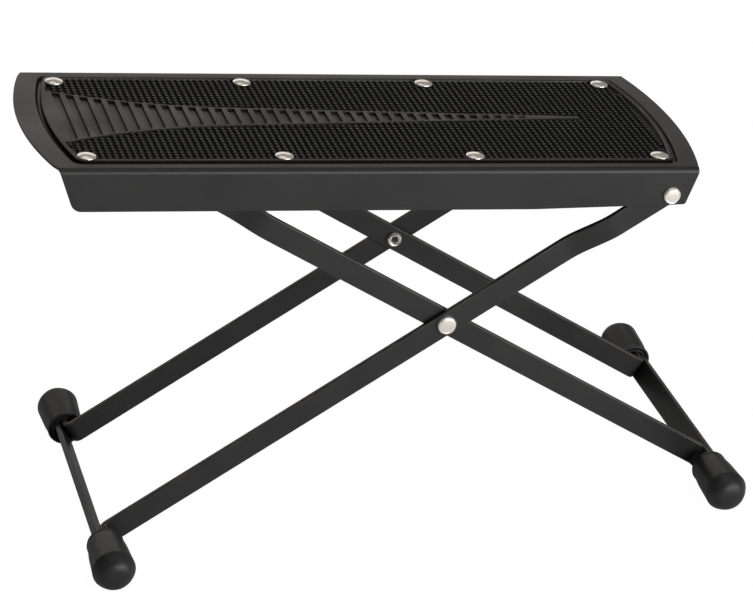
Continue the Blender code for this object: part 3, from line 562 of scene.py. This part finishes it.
def ladder_half(x):
    """Half the ladder's width at a place along it."""
    straight = TIP_HALF + (STRAIGHT_HALF - TIP_HALF) * (TIP - x) / (TIP - STRAIGHT_START)
    flare = max(FLARE_END - x, 0) / (FLARE_END - STRAIGHT_START)
    return straight + FLARE_HALF * flare ** FLARE_POWER


def crescent_edge(y):
    """Where the crescent ends, on the rim at the high end."""
    return -PANEL_MIDDLE - math.sqrt((PANEL_ARC - MAT_END - RIM_OVERLAP) ** 2 - y * y)


def station(x):
    """Points across the ladder: a rail, the rungs' width, a rail."""
    half = ladder_half(x)
    rail = min(RAIL, half * 0.45)
    spans = [-half] + [(half - rail) * (2 * j / ACROSS - 1) for j in range(ACROSS + 1)] + [half]
    return [(x, y, 0) for y in spans]


bm = bmesh.new()
first = [(crescent_edge(y), y, 0) for _, y, _ in station(SLOT_START - SLOT_WIDTH / 2 - CRESCENT)]
stations = [(first, False)]
for i in range(SLOT_COUNT):
    middle_x = SLOT_START + SLOT_PITCH * i
    stations.append((station(middle_x - SLOT_WIDTH / 2), True))
    stations.append((station(middle_x + SLOT_WIDTH / 2), False))
last_slot = SLOT_START + SLOT_PITCH * (SLOT_COUNT - 1)
for i in range(1, 5):
    stations.append((station(last_slot + (TIP - last_slot) * i / 4), False))
rows = [ring(bm, points) for points, _ in stations]
for (_, is_slot), row, next_row in zip(stations, rows, rows[1:]):
    for j in range(len(row) - 1):
        if is_slot and 0 < j < len(row) - 2:
            continue
        bm.faces.new((row[j], next_row[j], next_row[j + 1], row[j + 1]))
bmesh.ops.recalc_face_normals(bm, faces=bm.faces)
comb = rough("mat_ladder", bm, LADDER_RUBBER)
modify(comb, "SOLIDIFY", thickness=LADDER_TOP - FLOOR - SKIN, offset=-1)
modify(comb, "BEVEL", width=LADDER_EDGE, segments=2, limit_method="ANGLE", angle_limit=CUT_ANGLE)
lift = Matrix.Translation((0, LADDER_SHIFT, LADDER_TOP))
dress("mat_ladder", comb, PLATE @ lift, "platform", [])

bm = bmesh.new()
rows = [ring(bm, points) for points, _ in stations]
for row, next_row in zip(rows, rows[1:]):
    bridge(bm, row, next_row)
bmesh.ops.recalc_face_normals(bm, faces=bm.faces)
skin = rough("ladder_floor", bm, SLOT_RUBBER)
modify(skin, "SOLIDIFY", thickness=SKIN, offset=-1)
lift = Matrix.Translation((0, LADDER_SHIFT, FLOOR + 1.3 * SKIN))
dress("ladder_floor", skin, PLATE @ lift, "platform", [])

# %% [markdown]
# The grain is a pyramid repeated thousands of times, which is work for Geometry Nodes. The points are
# laid out in rows, and those that would fall on the ladder or the rim are left out. The tree puts a
# small blunt pyramid on every point, and gives its top a lighter rubber: a painted highlight.

# %% The grain
GRAIN_PITCH = 0.00305
GRAIN_FOOT_SHARE = 0.54
GRAIN_TOP = 0.00095
GRAIN_HEIGHT = 0.00105
GRAIN_TURN = 0.12
GRAIN_SINK = 0.00005
FIELD_SIDE, FIELD_END, LADDER_MARGIN = 0.0036, 0.0037, 0.0009


def geometry_tree(name, inputs):
    """A Geometry Nodes tree with named inputs after its geometry."""
    tree = bpy.data.node_groups.new(name, "GeometryNodeTree")
    tree.interface.new_socket("Geometry", in_out="INPUT", socket_type="NodeSocketGeometry")
    for label, kind, value in inputs:
        socket = tree.interface.new_socket(label, in_out="INPUT", socket_type="NodeSocket" + kind)
        if value is not None:
            socket.default_value = value
    tree.interface.new_socket("Geometry", in_out="OUTPUT", socket_type="NodeSocketGeometry")
    return tree, tree.nodes.new("NodeGroupInput").outputs, tree.nodes.new("NodeGroupOutput").inputs


def grow(piece, tree, **values):
    """Puts a tree on a piece and sets its inputs by their identifiers."""
    made = piece.modifiers.new(tree.name, "NODES")
    made.node_group = tree
    for item in tree.interface.items_tree:
        label = item.name.replace(" ", "_")
        if item.in_out == "INPUT" and label in values:
            made[item.identifier] = values[label]
    return made


def finish_tree(tree, made, inputs, outputs):
    """Ends a tree: instances made real, and a material set."""
    real = tree.nodes.new("GeometryNodeRealizeInstances")
    paint = tree.nodes.new("GeometryNodeSetMaterial")
    link(tree, (made, real.inputs["Geometry"]), (real.outputs["Geometry"], paint.inputs["Geometry"]),
         (inputs["Material"], paint.inputs["Material"]), (paint.outputs["Geometry"], outputs["Geometry"]))


grain_tree, inputs, outputs = geometry_tree(
    "pyramid_on_points",
    [("Base Radius", "Float", 0.002), ("Top Radius", "Float", 0.0005), ("Height", "Float", 0.001),
     ("Turn", "Float", 0.2), ("Material", "Material", None), ("Top Material", "Material", None)])
pyramid = grain_tree.nodes.new("GeometryNodeMeshCone")
pyramid.fill_type = "NGON"
pyramid.inputs["Vertices"].default_value = 4
crown = grain_tree.nodes.new("GeometryNodeStoreNamedAttribute")
crown.data_type = "BOOLEAN"
crown.domain = "FACE"
crown.inputs["Name"].default_value = "crown"
turned_by = grain_tree.nodes.new("ShaderNodeCombineXYZ")
spread = grain_tree.nodes.new("GeometryNodeInstanceOnPoints")
real = grain_tree.nodes.new("GeometryNodeRealizeInstances")
paint = grain_tree.nodes.new("GeometryNodeSetMaterial")
is_crown = grain_tree.nodes.new("GeometryNodeInputNamedAttribute")
is_crown.data_type = "BOOLEAN"
is_crown.inputs["Name"].default_value = "crown"
top_paint = grain_tree.nodes.new("GeometryNodeSetMaterial")
link(grain_tree, (inputs["Base Radius"], pyramid.inputs["Radius Bottom"]),
     (inputs["Top Radius"], pyramid.inputs["Radius Top"]), (inputs["Height"], pyramid.inputs["Depth"]),
     (pyramid.outputs["Mesh"], crown.inputs["Geometry"]), (pyramid.outputs["Top"], crown.inputs["Value"]),
     (crown.outputs["Geometry"], spread.inputs["Instance"]), (inputs["Geometry"], spread.inputs["Points"]),
     (inputs["Turn"], turned_by.inputs["Z"]), (turned_by.outputs["Vector"], spread.inputs["Rotation"]),
     (spread.outputs["Instances"], real.inputs["Geometry"]),
     (real.outputs["Geometry"], paint.inputs["Geometry"]), (inputs["Material"], paint.inputs["Material"]),
     (paint.outputs["Geometry"], top_paint.inputs["Geometry"]),
     (is_crown.outputs["Attribute"], top_paint.inputs["Selection"]),
     (inputs["Top Material"], top_paint.inputs["Material"]),
     (top_paint.outputs["Geometry"], outputs["Geometry"]))


def on_field(x, y):
    """Whether a pyramid fits between the rim and the ladder."""
    half_side = HALF_WIDTH - MAT_SIDE - FIELD_SIDE
    reach = math.sqrt((PANEL_ARC - MAT_END - FIELD_END) ** 2 - y * y) + PANEL_MIDDLE
    beside = x > TIP or abs(y - LADDER_SHIFT) > ladder_half(x) + LADDER_MARGIN
    return abs(y) < half_side and abs(x) < reach and beside


bm = bmesh.new()
columns = int(HALF_SIDE / GRAIN_PITCH) + 2
for i in range(-columns, columns + 1):
    for j in range(-columns, columns + 1):
        x, y = i * GRAIN_PITCH, j * GRAIN_PITCH
        if abs(y) < HALF_WIDTH and on_field(x, y):
            bm.verts.new((x, y, FLOOR - GRAIN_SINK))
field = rough("mat_grain", bm)
grow(field, grain_tree, Base_Radius=GRAIN_PITCH * GRAIN_FOOT_SHARE, Top_Radius=GRAIN_TOP, Height=GRAIN_HEIGHT,
     Turn=GRAIN_TURN, Material=MAT_RUBBER, Top_Material=LIT_TOP_RUBBER)
dress("mat_grain", field, PLATE, "platform", [])

# %% [markdown]
# ## Rivets
# A rivet on the mat has a low domed head on a short shank, and a rivet of a joint a flat one. Their
# outlines are turned about their own axis by the same small function that turns the foot caps, with a
# point at each pole. The eight rivets on the mat are one, repeated on eight points by the tree below.

# %% Turned shapes


def turn(bm, profile, steps, place):
    """A profile of radius and height turned about Z, with closed poles, laid in its place."""
    made = bmesh.new()
    rows = []
    for radius, height in profile:
        if radius == 0:
            rows.append([made.verts.new((0, 0, height))])
            continue
        angles = [2 * math.pi * i / steps for i in range(steps)]
        rows.append(ring(made, [(radius * math.cos(a), radius * math.sin(a), height) for a in angles]))
    for first, second in zip(rows, rows[1:]):
        if len(first) == 1 or len(second) == 1:
            pole, row = (first[0], second) if len(first) == 1 else (second[0], first)
            for i in range(steps):
                made.faces.new((pole, row[i], row[(i + 1) % steps]))
        else:
            bridge(made, first, second, closed=True)
    bmesh.ops.recalc_face_normals(made, faces=made.faces)
    bmesh.ops.transform(made, matrix=place, verts=made.verts)
    scrap = bpy.data.meshes.new("turned")
    made.to_mesh(scrap)
    made.free()
    bm.from_mesh(scrap)
    bpy.data.meshes.remove(scrap)


def domed_head(radius, height, edge, rows=7):
    """Half of a head's outline: a low dome, a rounded edge of this height, and the seat."""
    dome_radius, rise = radius - edge * 0.5, height - edge
    sphere = (dome_radius ** 2 + rise ** 2) / (2 * rise)
    span = math.asin(dome_radius / sphere)
    points = [(sphere * math.sin(span * i / rows), height - sphere * (1 - math.cos(span * i / rows)))
              for i in range(rows)]
    rounded = [(dome_radius, edge), (radius - edge * 0.15, edge * 0.8), (radius, edge * 0.4), (radius, 0)]
    return points + rounded


def flat_head(radius, height):
    """Half of a joint rivet's head: a flat face, a shallow ring round it, and a rounded edge."""
    return [(0, height), (radius * 0.70, height), (radius * 0.76, height - 0.0002),
            (radius * 0.82, height - 0.0001), (radius * 0.90, height - 0.0003), (radius * 0.96, height * 0.6),
            (radius, height * 0.3), (radius, 0)]


def outward(sign, x, y):
    """A matrix that lays a turned shape's Z along the axis of a joint, outwards on its side."""
    return Matrix.Translation((x, sign * y, 0)) @ Matrix.Rotation(-sign * math.pi / 2, 4, "X")


# %% Rivets through the mat
RIVET_COUNT = 4
RIVET_PITCH = 0.090
RIVET_ROWS = {"near": (-0.0448, -0.0004), "far": (0.0433, -0.0009)}
RIVET_SEAT = 0.0006
RIVET_SHANK = 0.0018
MAT_HEAD = (0.0043, 0.0015, 0.0006)

rivet_tree, inputs, outputs = geometry_tree("rivet_on_points", [("Rivet", "Object", None),
                                                                ("Material", "Material", None)])
model = rivet_tree.nodes.new("GeometryNodeObjectInfo")
spread = rivet_tree.nodes.new("GeometryNodeInstanceOnPoints")
link(rivet_tree, (inputs["Rivet"], model.inputs["Object"]),
     (model.outputs["Geometry"], spread.inputs["Instance"]), (inputs["Geometry"], spread.inputs["Points"]))
finish_tree(rivet_tree, spread.outputs["Instances"], inputs, outputs)

bm = bmesh.new()
tail = [(RIVET_SHANK, 0), (RIVET_SHANK, -0.0037), (0.0028, -0.0037), (0.0027, -0.0045), (0, -0.0046)]
turn(bm, domed_head(*MAT_HEAD) + tail, 32, Matrix.Identity(4))
rivet = rough("rivet", bm, NICKEL)
bm = bmesh.new()
for i in range(RIVET_COUNT):
    for row_y, shift in RIVET_ROWS.values():
        bm.verts.new((RIVET_PITCH * (i - (RIVET_COUNT - 1) / 2) + shift, row_y, RIVET_SEAT))
heads = rough("mat_rivets", bm)
grow(heads, rivet_tree, Rivet=rivet, Material=NICKEL)
rivet_nodes = [f"mat_rivet_{side}_{i}" for side in SIDES for i in range(1, RIVET_COUNT + 1)]
dress("mat_rivets", heads, PLATE, "platform", rivet_nodes, sharp=50)
bpy.data.objects.remove(rivet)

# %% Rivets of the joints
OUTER_FACE = 0.1016 / 2
BAR_THICKNESS = 0.0029
WASHER, PLAY = 0.0006, 0.0006
HINGE_GRIP = SHEET + WASHER + BAR_THICKNESS + 2 * PLAY
CENTRE_GRIP = 2 * BAR_THICKNESS + 1.5 * PLAY
HEAD_GAP = PLAY / 2
HINGE_HEAD = (0.0042, 0.0016)
CENTRE_HEAD = (0.0046, 0.0018)

hinge_tail = [(0.0022, 0), (0.0022, -HINGE_GRIP), (0.0032, -HINGE_GRIP), (0.0031, -HINGE_GRIP - 0.0012),
              (0, -HINGE_GRIP - 0.0014)]
bm = bmesh.new()
for sign in SIDES.values():
    turn(bm, flat_head(*HINGE_HEAD) + hinge_tail, 36, outward(sign, 0, HALF_WIDTH + HEAD_GAP))
dress("platform_rivets", rough("platform_rivets", bm, NICKEL), drawing(PLATFORM_HINGE, -fall),
      "platform", ["platform_rivet_near", "platform_rivet_far"], sharp=50)

rolled = [(0.0024, 0), (0.0024, -CENTRE_GRIP), (0.0036, -CENTRE_GRIP), (0.0037, -CENTRE_GRIP - 0.0008),
          (0.0034, -CENTRE_GRIP - 0.0016), (0.0028, -CENTRE_GRIP - 0.0020), (0.0021, -CENTRE_GRIP - 0.0017),
          (0.0018, -CENTRE_GRIP - 0.0010), (0.0017, 0.0015 - CENTRE_GRIP), (0, 0.0015 - CENTRE_GRIP)]
bm = bmesh.new()
for sign in SIDES.values():
    turn(bm, flat_head(*CENTRE_HEAD) + rolled, 36, outward(sign, 0, OUTER_FACE + HEAD_GAP))
dress("central_rivets", rough("central_rivets", bm, NICKEL), OUTER, "outer_legs",
      ["central_rivet_near", "central_rivet_far"], sharp=50)

# %% [markdown]
# ## The leg frames
# Each frame is one flat bar. Its middle is the cross bar, which runs into the foot cap, folds back on
# itself there, and turns up into the leg, which steps sideways near its top. Its centre line is a
# polyline in the frame's drawing, and a Geometry Nodes tree sweeps the bar's section along it. A
# painted highlight, brownish grey and patchy, lies along the corners of the bar's narrow edges.

# %% A flat bar along a path
BAR_WIDTH = 0.0114
BEND_INSIDE = 0.0018
BEND_ROWS = 10
EAR_SPAN = 0.1540
LAYER_GAP = 0.0010
LEG_ROWS, CRANK_ROWS, TOP_ROWS = 4, 12, 7

bar_tree, inputs, outputs = geometry_tree(
    "flat_bar_on_path",
    [("Width", "Float", 0.01), ("Thickness", "Float", 0.003), ("Edge Radius", "Float", 0.0005),
     ("Material", "Material", None)])
path_curve = bar_tree.nodes.new("GeometryNodeMeshToCurve")
upright = bar_tree.nodes.new("GeometryNodeSetCurveNormal")
upright.mode = "Z_UP"
section = bar_tree.nodes.new("GeometryNodeCurvePrimitiveQuadrilateral")
rounding = bar_tree.nodes.new("GeometryNodeFilletCurve")
rounding.mode = "POLY"
rounding.inputs["Count"].default_value = 3
sweep = bar_tree.nodes.new("GeometryNodeCurveToMesh")
sweep.inputs["Fill Caps"].default_value = True
link(bar_tree, (inputs["Geometry"], path_curve.inputs["Mesh"]),
     (path_curve.outputs["Curve"], upright.inputs["Curve"]),
     (upright.outputs["Curve"], sweep.inputs["Curve"]),
     (inputs["Thickness"], section.inputs["Width"]), (inputs["Width"], section.inputs["Height"]),
     (section.outputs["Curve"], rounding.inputs["Curve"]), (inputs["Edge Radius"], rounding.inputs["Radius"]),
     (rounding.outputs["Curve"], sweep.inputs["Profile Curve"]))
share = bar_tree.nodes.new("GeometryNodeInputNamedAttribute")
share.data_type = "FLOAT"
share.inputs["Name"].default_value = "taper"
place = bar_tree.nodes.new("GeometryNodeInputPosition")
scaled = bar_tree.nodes.new("ShaderNodeVectorMath")
scaled.operation = "MULTIPLY"
factors = bar_tree.nodes.new("ShaderNodeCombineXYZ")
factors.inputs["X"].default_value = 1
factors.inputs["Y"].default_value = 1
moved = bar_tree.nodes.new("GeometryNodeSetPosition")
link(bar_tree, (share.outputs["Attribute"], factors.inputs["Z"]),
     (place.outputs["Position"], scaled.inputs[0]), (factors.outputs["Vector"], scaled.inputs[1]),
     (scaled.outputs["Vector"], moved.inputs["Position"]), (sweep.outputs["Mesh"], moved.inputs["Geometry"]))
finish_tree(bar_tree, moved.outputs["Geometry"], inputs, outputs)


def arc(centre, radius, start, stop, rows):
    """Points along an arc, with angles in degrees."""
    angles = [math.radians(start + (stop - start) * i / rows) for i in range(rows + 1)]
    return [(centre[0] + radius * math.cos(a), centre[1] + radius * math.sin(a)) for a in angles]


def half_path(arm, leg, leg_y, top_y, from_top, run):
    """Half of a frame's centre line, from the middle of the cross bar up to the top of the leg."""
    fold = (BAR_THICKNESS + LAYER_GAP) / 2
    tip = (EAR_SPAN - BAR_THICKNESS) / 2 - fold
    bend = BEND_INSIDE + BAR_THICKNESS / 2
    points = [(-leg - fold, 0), (-leg - fold, tip / 2)]
    points += arc((-leg, tip), fold, 180, 0, BEND_ROWS)
    points += arc((-leg + fold + bend, leg_y + bend), bend, 180, 270, BEND_ROWS)
    low = arm - from_top - run
    points += [(low * i / LEG_ROWS, leg_y) for i in range(-LEG_ROWS // 2, LEG_ROWS)]
    for i in range(CRANK_ROWS + 1):
        share = i / CRANK_ROWS
        points.append((low + run * i / CRANK_ROWS, leg_y + (top_y - leg_y) * ease(share)))
    points.append((arm, top_y))
    return points


def bar_path(name, points):
    """The whole centre line as a mesh of edges, whose taper rounds off both upper ends."""
    half = BAR_WIDTH / 2
    arm, top_y = points[-1]
    tapers = [1.0] * len(points)
    for i in range(1, TOP_ROWS + 1):
        angle = math.pi / 2 * (i - 0.4) / TOP_ROWS
        points.append((arm + half * math.sin(angle), top_y))
        tapers.append(math.cos(angle))
    full = [(x, -y) for x, y in points[:0:-1]] + points
    tapers = tapers[:0:-1] + tapers
    mesh = bpy.data.meshes.new(name)
    mesh.from_pydata([(x, y, 0) for x, y in full], [(i, i + 1) for i in range(len(full) - 1)], [])
    attribute = mesh.attributes.new("taper", "FLOAT", "POINT")
    attribute.data.foreach_set("value", tapers)
    made = bpy.data.objects.new(name, mesh)
    bpy.context.scene.collection.objects.link(made)
    return made


# %% The two leg frames
OUTER_LEG_Y = OUTER_FACE - BAR_THICKNESS / 2
INNER_LEG_Y = OUTER_LEG_Y - BAR_THICKNESS - PLAY / 2
OUTER_TOP_Y = HALF_WIDTH - SHEET - WASHER - PLAY - BAR_THICKNESS / 2
INNER_TOP_Y = 0.0824 / 2
OUTER_STEP = (0.0283, 0.0265)
INNER_STEP = (0.0220, 0.0230)
EDGE_RADIUS = 0.0007
# The colour of the painted highlight along the bars' corners.
EDGE_HIGHLIGHT_COLOUR = (0.085, 0.066, 0.052)

outer_sizes = (OUTER_ARM, OUTER_LEG, OUTER_LEG_Y, OUTER_TOP_Y, *OUTER_STEP)
inner_sizes = (INNER_ARM, INNER_LEG, INNER_LEG_Y, INNER_TOP_Y, *INNER_STEP)
for name, matrix, sizes, node in [("outer_legs_bar", OUTER, outer_sizes, "outer"),
                                  ("inner_legs_bar", INNER, inner_sizes, "inner")]:
    path = bar_path(name, half_path(*sizes))
    coat = paint_edge_highlight(BAR_COAT, name + "_coat", EDGE_HIGHLIGHT_COLOUR, matrix.col[2].to_3d())
    grow(path, bar_tree, Width=BAR_WIDTH, Thickness=BAR_THICKNESS, Edge_Radius=EDGE_RADIUS, Material=coat)
    dress(name, path, matrix, node + "_legs", [node + "_leg_frame"])

# %% [markdown]
# ## Foot caps
# A rubber cap is pushed over each folded ear. It tapers towards its mouth, which has a rolled lip and
# a second ring inside it, and its outer end is a soft dome behind a shallow ridge.

# %% Turn the caps
CAP_RADIUS = 0.0102
CAP_MOUTH = 0.0085
CAP_BORE = 0.0056
CAP_BOTTOM = 0.0110
CAP_LENGTH = 0.0316
CAP_MOUTH_Y = 0.0564
CAP_PROFILE = [
    (0, CAP_LENGTH), (0.0022, CAP_LENGTH - 0.00005), (0.0041, CAP_LENGTH - 0.0003),
    (0.0058, CAP_LENGTH - 0.0009), (0.0071, CAP_LENGTH - 0.0018), (0.0081, CAP_LENGTH - 0.0030),
    (0.0089, CAP_LENGTH - 0.0043), (0.0095, CAP_LENGTH - 0.0056), (0.0097, CAP_LENGTH - 0.0063),
    (0.0100, CAP_LENGTH - 0.0066), (CAP_RADIUS, CAP_LENGTH - 0.0072), (0.01015, CAP_LENGTH - 0.0079),
    (0.0094, 0.0100), (CAP_MOUTH, 0.0022), (0.0087, 0.0016), (0.0088, 0.0009), (0.0086, 0.0003),
    (0.0081, 0), (0.0076, 0.0002), (0.0073, 0.0008), (0.0071, 0.0014), (0.0069, 0.0008), (0.0066, 0.0001),
    (0.0061, -0.0002), (0.0057, 0.0003), (CAP_BORE, 0.0012), (CAP_BORE, CAP_LENGTH - CAP_BOTTOM),
    (0, CAP_LENGTH - CAP_BOTTOM)]

for kind, matrix, leg in [("outer", OUTER, OUTER_LEG), ("inner", INNER, INNER_LEG)]:
    bm = bmesh.new()
    for sign in SIDES.values():
        turn(bm, CAP_PROFILE, 56, outward(sign, -leg, CAP_MOUTH_Y))
    dress(kind + "_foot_caps", rough(kind + "_foot_caps", bm, CAP_RUBBER), matrix, kind + "_legs",
          [f"{kind}_foot_cap_{side}" for side in SIDES], sharp=60)

# %% [markdown]
# ## The catch
# Under the platform, the rod across the inner legs lies below two notched racks. These are plain
# plated parts: the rod is turned again, with eased ends, and the racks and washers keep their solids
# and get a better finish.

# %% Rod, racks and washers
ROD_RADIUS, ROD_HALF, ROD_EASE = 0.0025, 0.0450, 0.0005
rod_profile = [(0, ROD_HALF), (ROD_RADIUS - ROD_EASE, ROD_HALF), (ROD_RADIUS, ROD_HALF - ROD_EASE),
               (ROD_RADIUS, 0), (ROD_RADIUS, ROD_EASE - ROD_HALF), (ROD_RADIUS - ROD_EASE, -ROD_HALF),
               (0, -ROD_HALF)]
bm = bmesh.new()
turn(bm, rod_profile, 40, outward(1, INNER_ARM, 0))
dress("catch_rod_turned", rough("catch_rod_turned", bm, ZINC), INNER, "inner_legs", ["catch_rod"])
for node, material in [("catch_rack", ZINC), ("pivot_washer", DARK_STEEL)]:
    for side in SIDES:
        solid = frame["nodes"][f"{node}_{side}"]
        solid.data.materials.clear()
        solid.data.materials.append(material)

# %% [markdown]
# ## Light and camera
# The photograph is a product picture on pure white. A low card behind the footrest shines along its
# flat tops, a stronger card in front lights what faces the camera, and a weak box hangs above. The
# floor lies just under the caps and catches a faint shadow. The camera stands where the photograph's
# did, 1.46 m away behind a long lens, a little to the left and above.

# %% Floor, lamps and world
FLOOR_DROP = 0.0003
FLOOR_SIZE = 6
FLOOR_GLOW, GLOW_SHARE = 1.05, 0.93
ROOM_STRENGTH = 0.12

bm = bmesh.new()
under_caps = Matrix.Translation((0, 0, -FLOOR_DROP))
bmesh.ops.create_grid(bm, x_segments=1, y_segments=1, size=FLOOR_SIZE, matrix=under_caps)
floor_paint = bpy.data.materials.new("floor_paint")
floor_paint.use_nodes = True
tree = floor_paint.node_tree
shader = tree.nodes["Principled BSDF"]
shader.inputs["Base Color"].default_value = (0.9, 0.9, 0.9, 1)
shader.inputs["Roughness"].default_value = 0.9
glow = tree.nodes.new("ShaderNodeEmission")
glow.inputs["Strength"].default_value = FLOOR_GLOW
blend = tree.nodes.new("ShaderNodeMixShader")
seen = tree.nodes.new("ShaderNodeLightPath")
seen_share = tree.nodes.new("ShaderNodeMath")
seen_share.operation = "MULTIPLY"
seen_share.inputs[1].default_value = GLOW_SHARE
link(tree, (seen.outputs["Is Camera Ray"], seen_share.inputs[0]),
     (seen_share.outputs[0], blend.inputs["Fac"]),
     (shader.outputs["BSDF"], blend.inputs[1]), (glow.outputs["Emission"], blend.inputs[2]),
     (blend.outputs["Shader"], tree.nodes["Material Output"].inputs["Surface"]))
floor = rough("floor", bm, floor_paint)


def softbox(name, where, aim, size, watts, colour):
    """A lamp with a wide soft face that looks at its aim."""
    data = bpy.data.lights.new(name, "AREA")
    data.shape = "RECTANGLE"
    data.size, data.size_y = size
    data.energy = watts
    data.color = colour
    made = bpy.data.objects.new(name, data)
    made.location = where
    made.rotation_euler = (Vector(where) - Vector(aim)).to_track_quat("Z", "Y").to_euler()
    bpy.context.scene.collection.objects.link(made)


HEART = (0, 0, 0.1)
softbox("back_card", (-0.15, 2.0, 0.80), HEART, (2.6, 1.05), 8.5, (1.0, 0.93, 0.89))
softbox("front_card", (1.1, -1.8, 0.62), HEART, (2.2, 0.9), 46, (1.0, 1.0, 1.0))
softbox("top_box", (0.1, 0.1, 1.6), HEART, (1.6, 1.2), 4, (1.0, 0.98, 0.96))

world = bpy.data.worlds.new("white_room")
bpy.context.scene.world = world
world.use_nodes = True
tree = world.node_tree
background = tree.nodes["Background"]
background.inputs["Color"].default_value = (1, 1, 1, 1)
seen = tree.nodes.new("ShaderNodeLightPath")
either = tree.nodes.new("ShaderNodeMath")
either.operation = "MAXIMUM"
strength = tree.nodes.new("ShaderNodeMapRange")
strength.inputs["To Min"].default_value = ROOM_STRENGTH
strength.inputs["To Max"].default_value = 1.0
link(tree, (seen.outputs["Is Camera Ray"], either.inputs[0]),
     (seen.outputs["Is Transmission Ray"], either.inputs[1]), (either.outputs[0], strength.inputs["Value"]),
     (strength.outputs["Result"], background.inputs["Strength"]))
bpy.context.scene.view_settings.view_transform = "Standard"

# %% Camera
AZIMUTH, ELEVATION, ROLL = (math.radians(angle) for angle in (-14.74, 26.79, 0.39))
DISTANCE = 1.4613
FOCAL_PIXELS, PICTURE_WIDTH, SENSOR = 3034.8, 753, 36
AIM_FROM_CROSSING = Vector((-0.02048, 0, -0.00956))

back = Vector((math.sin(AZIMUTH) * math.cos(ELEVATION), -math.cos(AZIMUTH) * math.cos(ELEVATION),
               math.sin(ELEVATION)))
level = Vector((math.cos(AZIMUTH), math.sin(AZIMUTH), 0))
upward = back.cross(level)
right = level * math.cos(ROLL) + upward * math.sin(ROLL)
up = upward * math.cos(ROLL) - level * math.sin(ROLL)
eye = CROSSING + AIM_FROM_CROSSING + back * DISTANCE
lens = bpy.data.cameras.new("camera")
lens.sensor_width = SENSOR
lens.lens = FOCAL_PIXELS / PICTURE_WIDTH * SENSOR
camera = bpy.data.objects.new("camera", lens)
camera.matrix_world = Matrix([(right[i], up[i], back[i], eye[i]) for i in range(3)] + [(0, 0, 0, 1)])
bpy.context.scene.collection.objects.link(camera)
bpy.context.scene.camera = camera
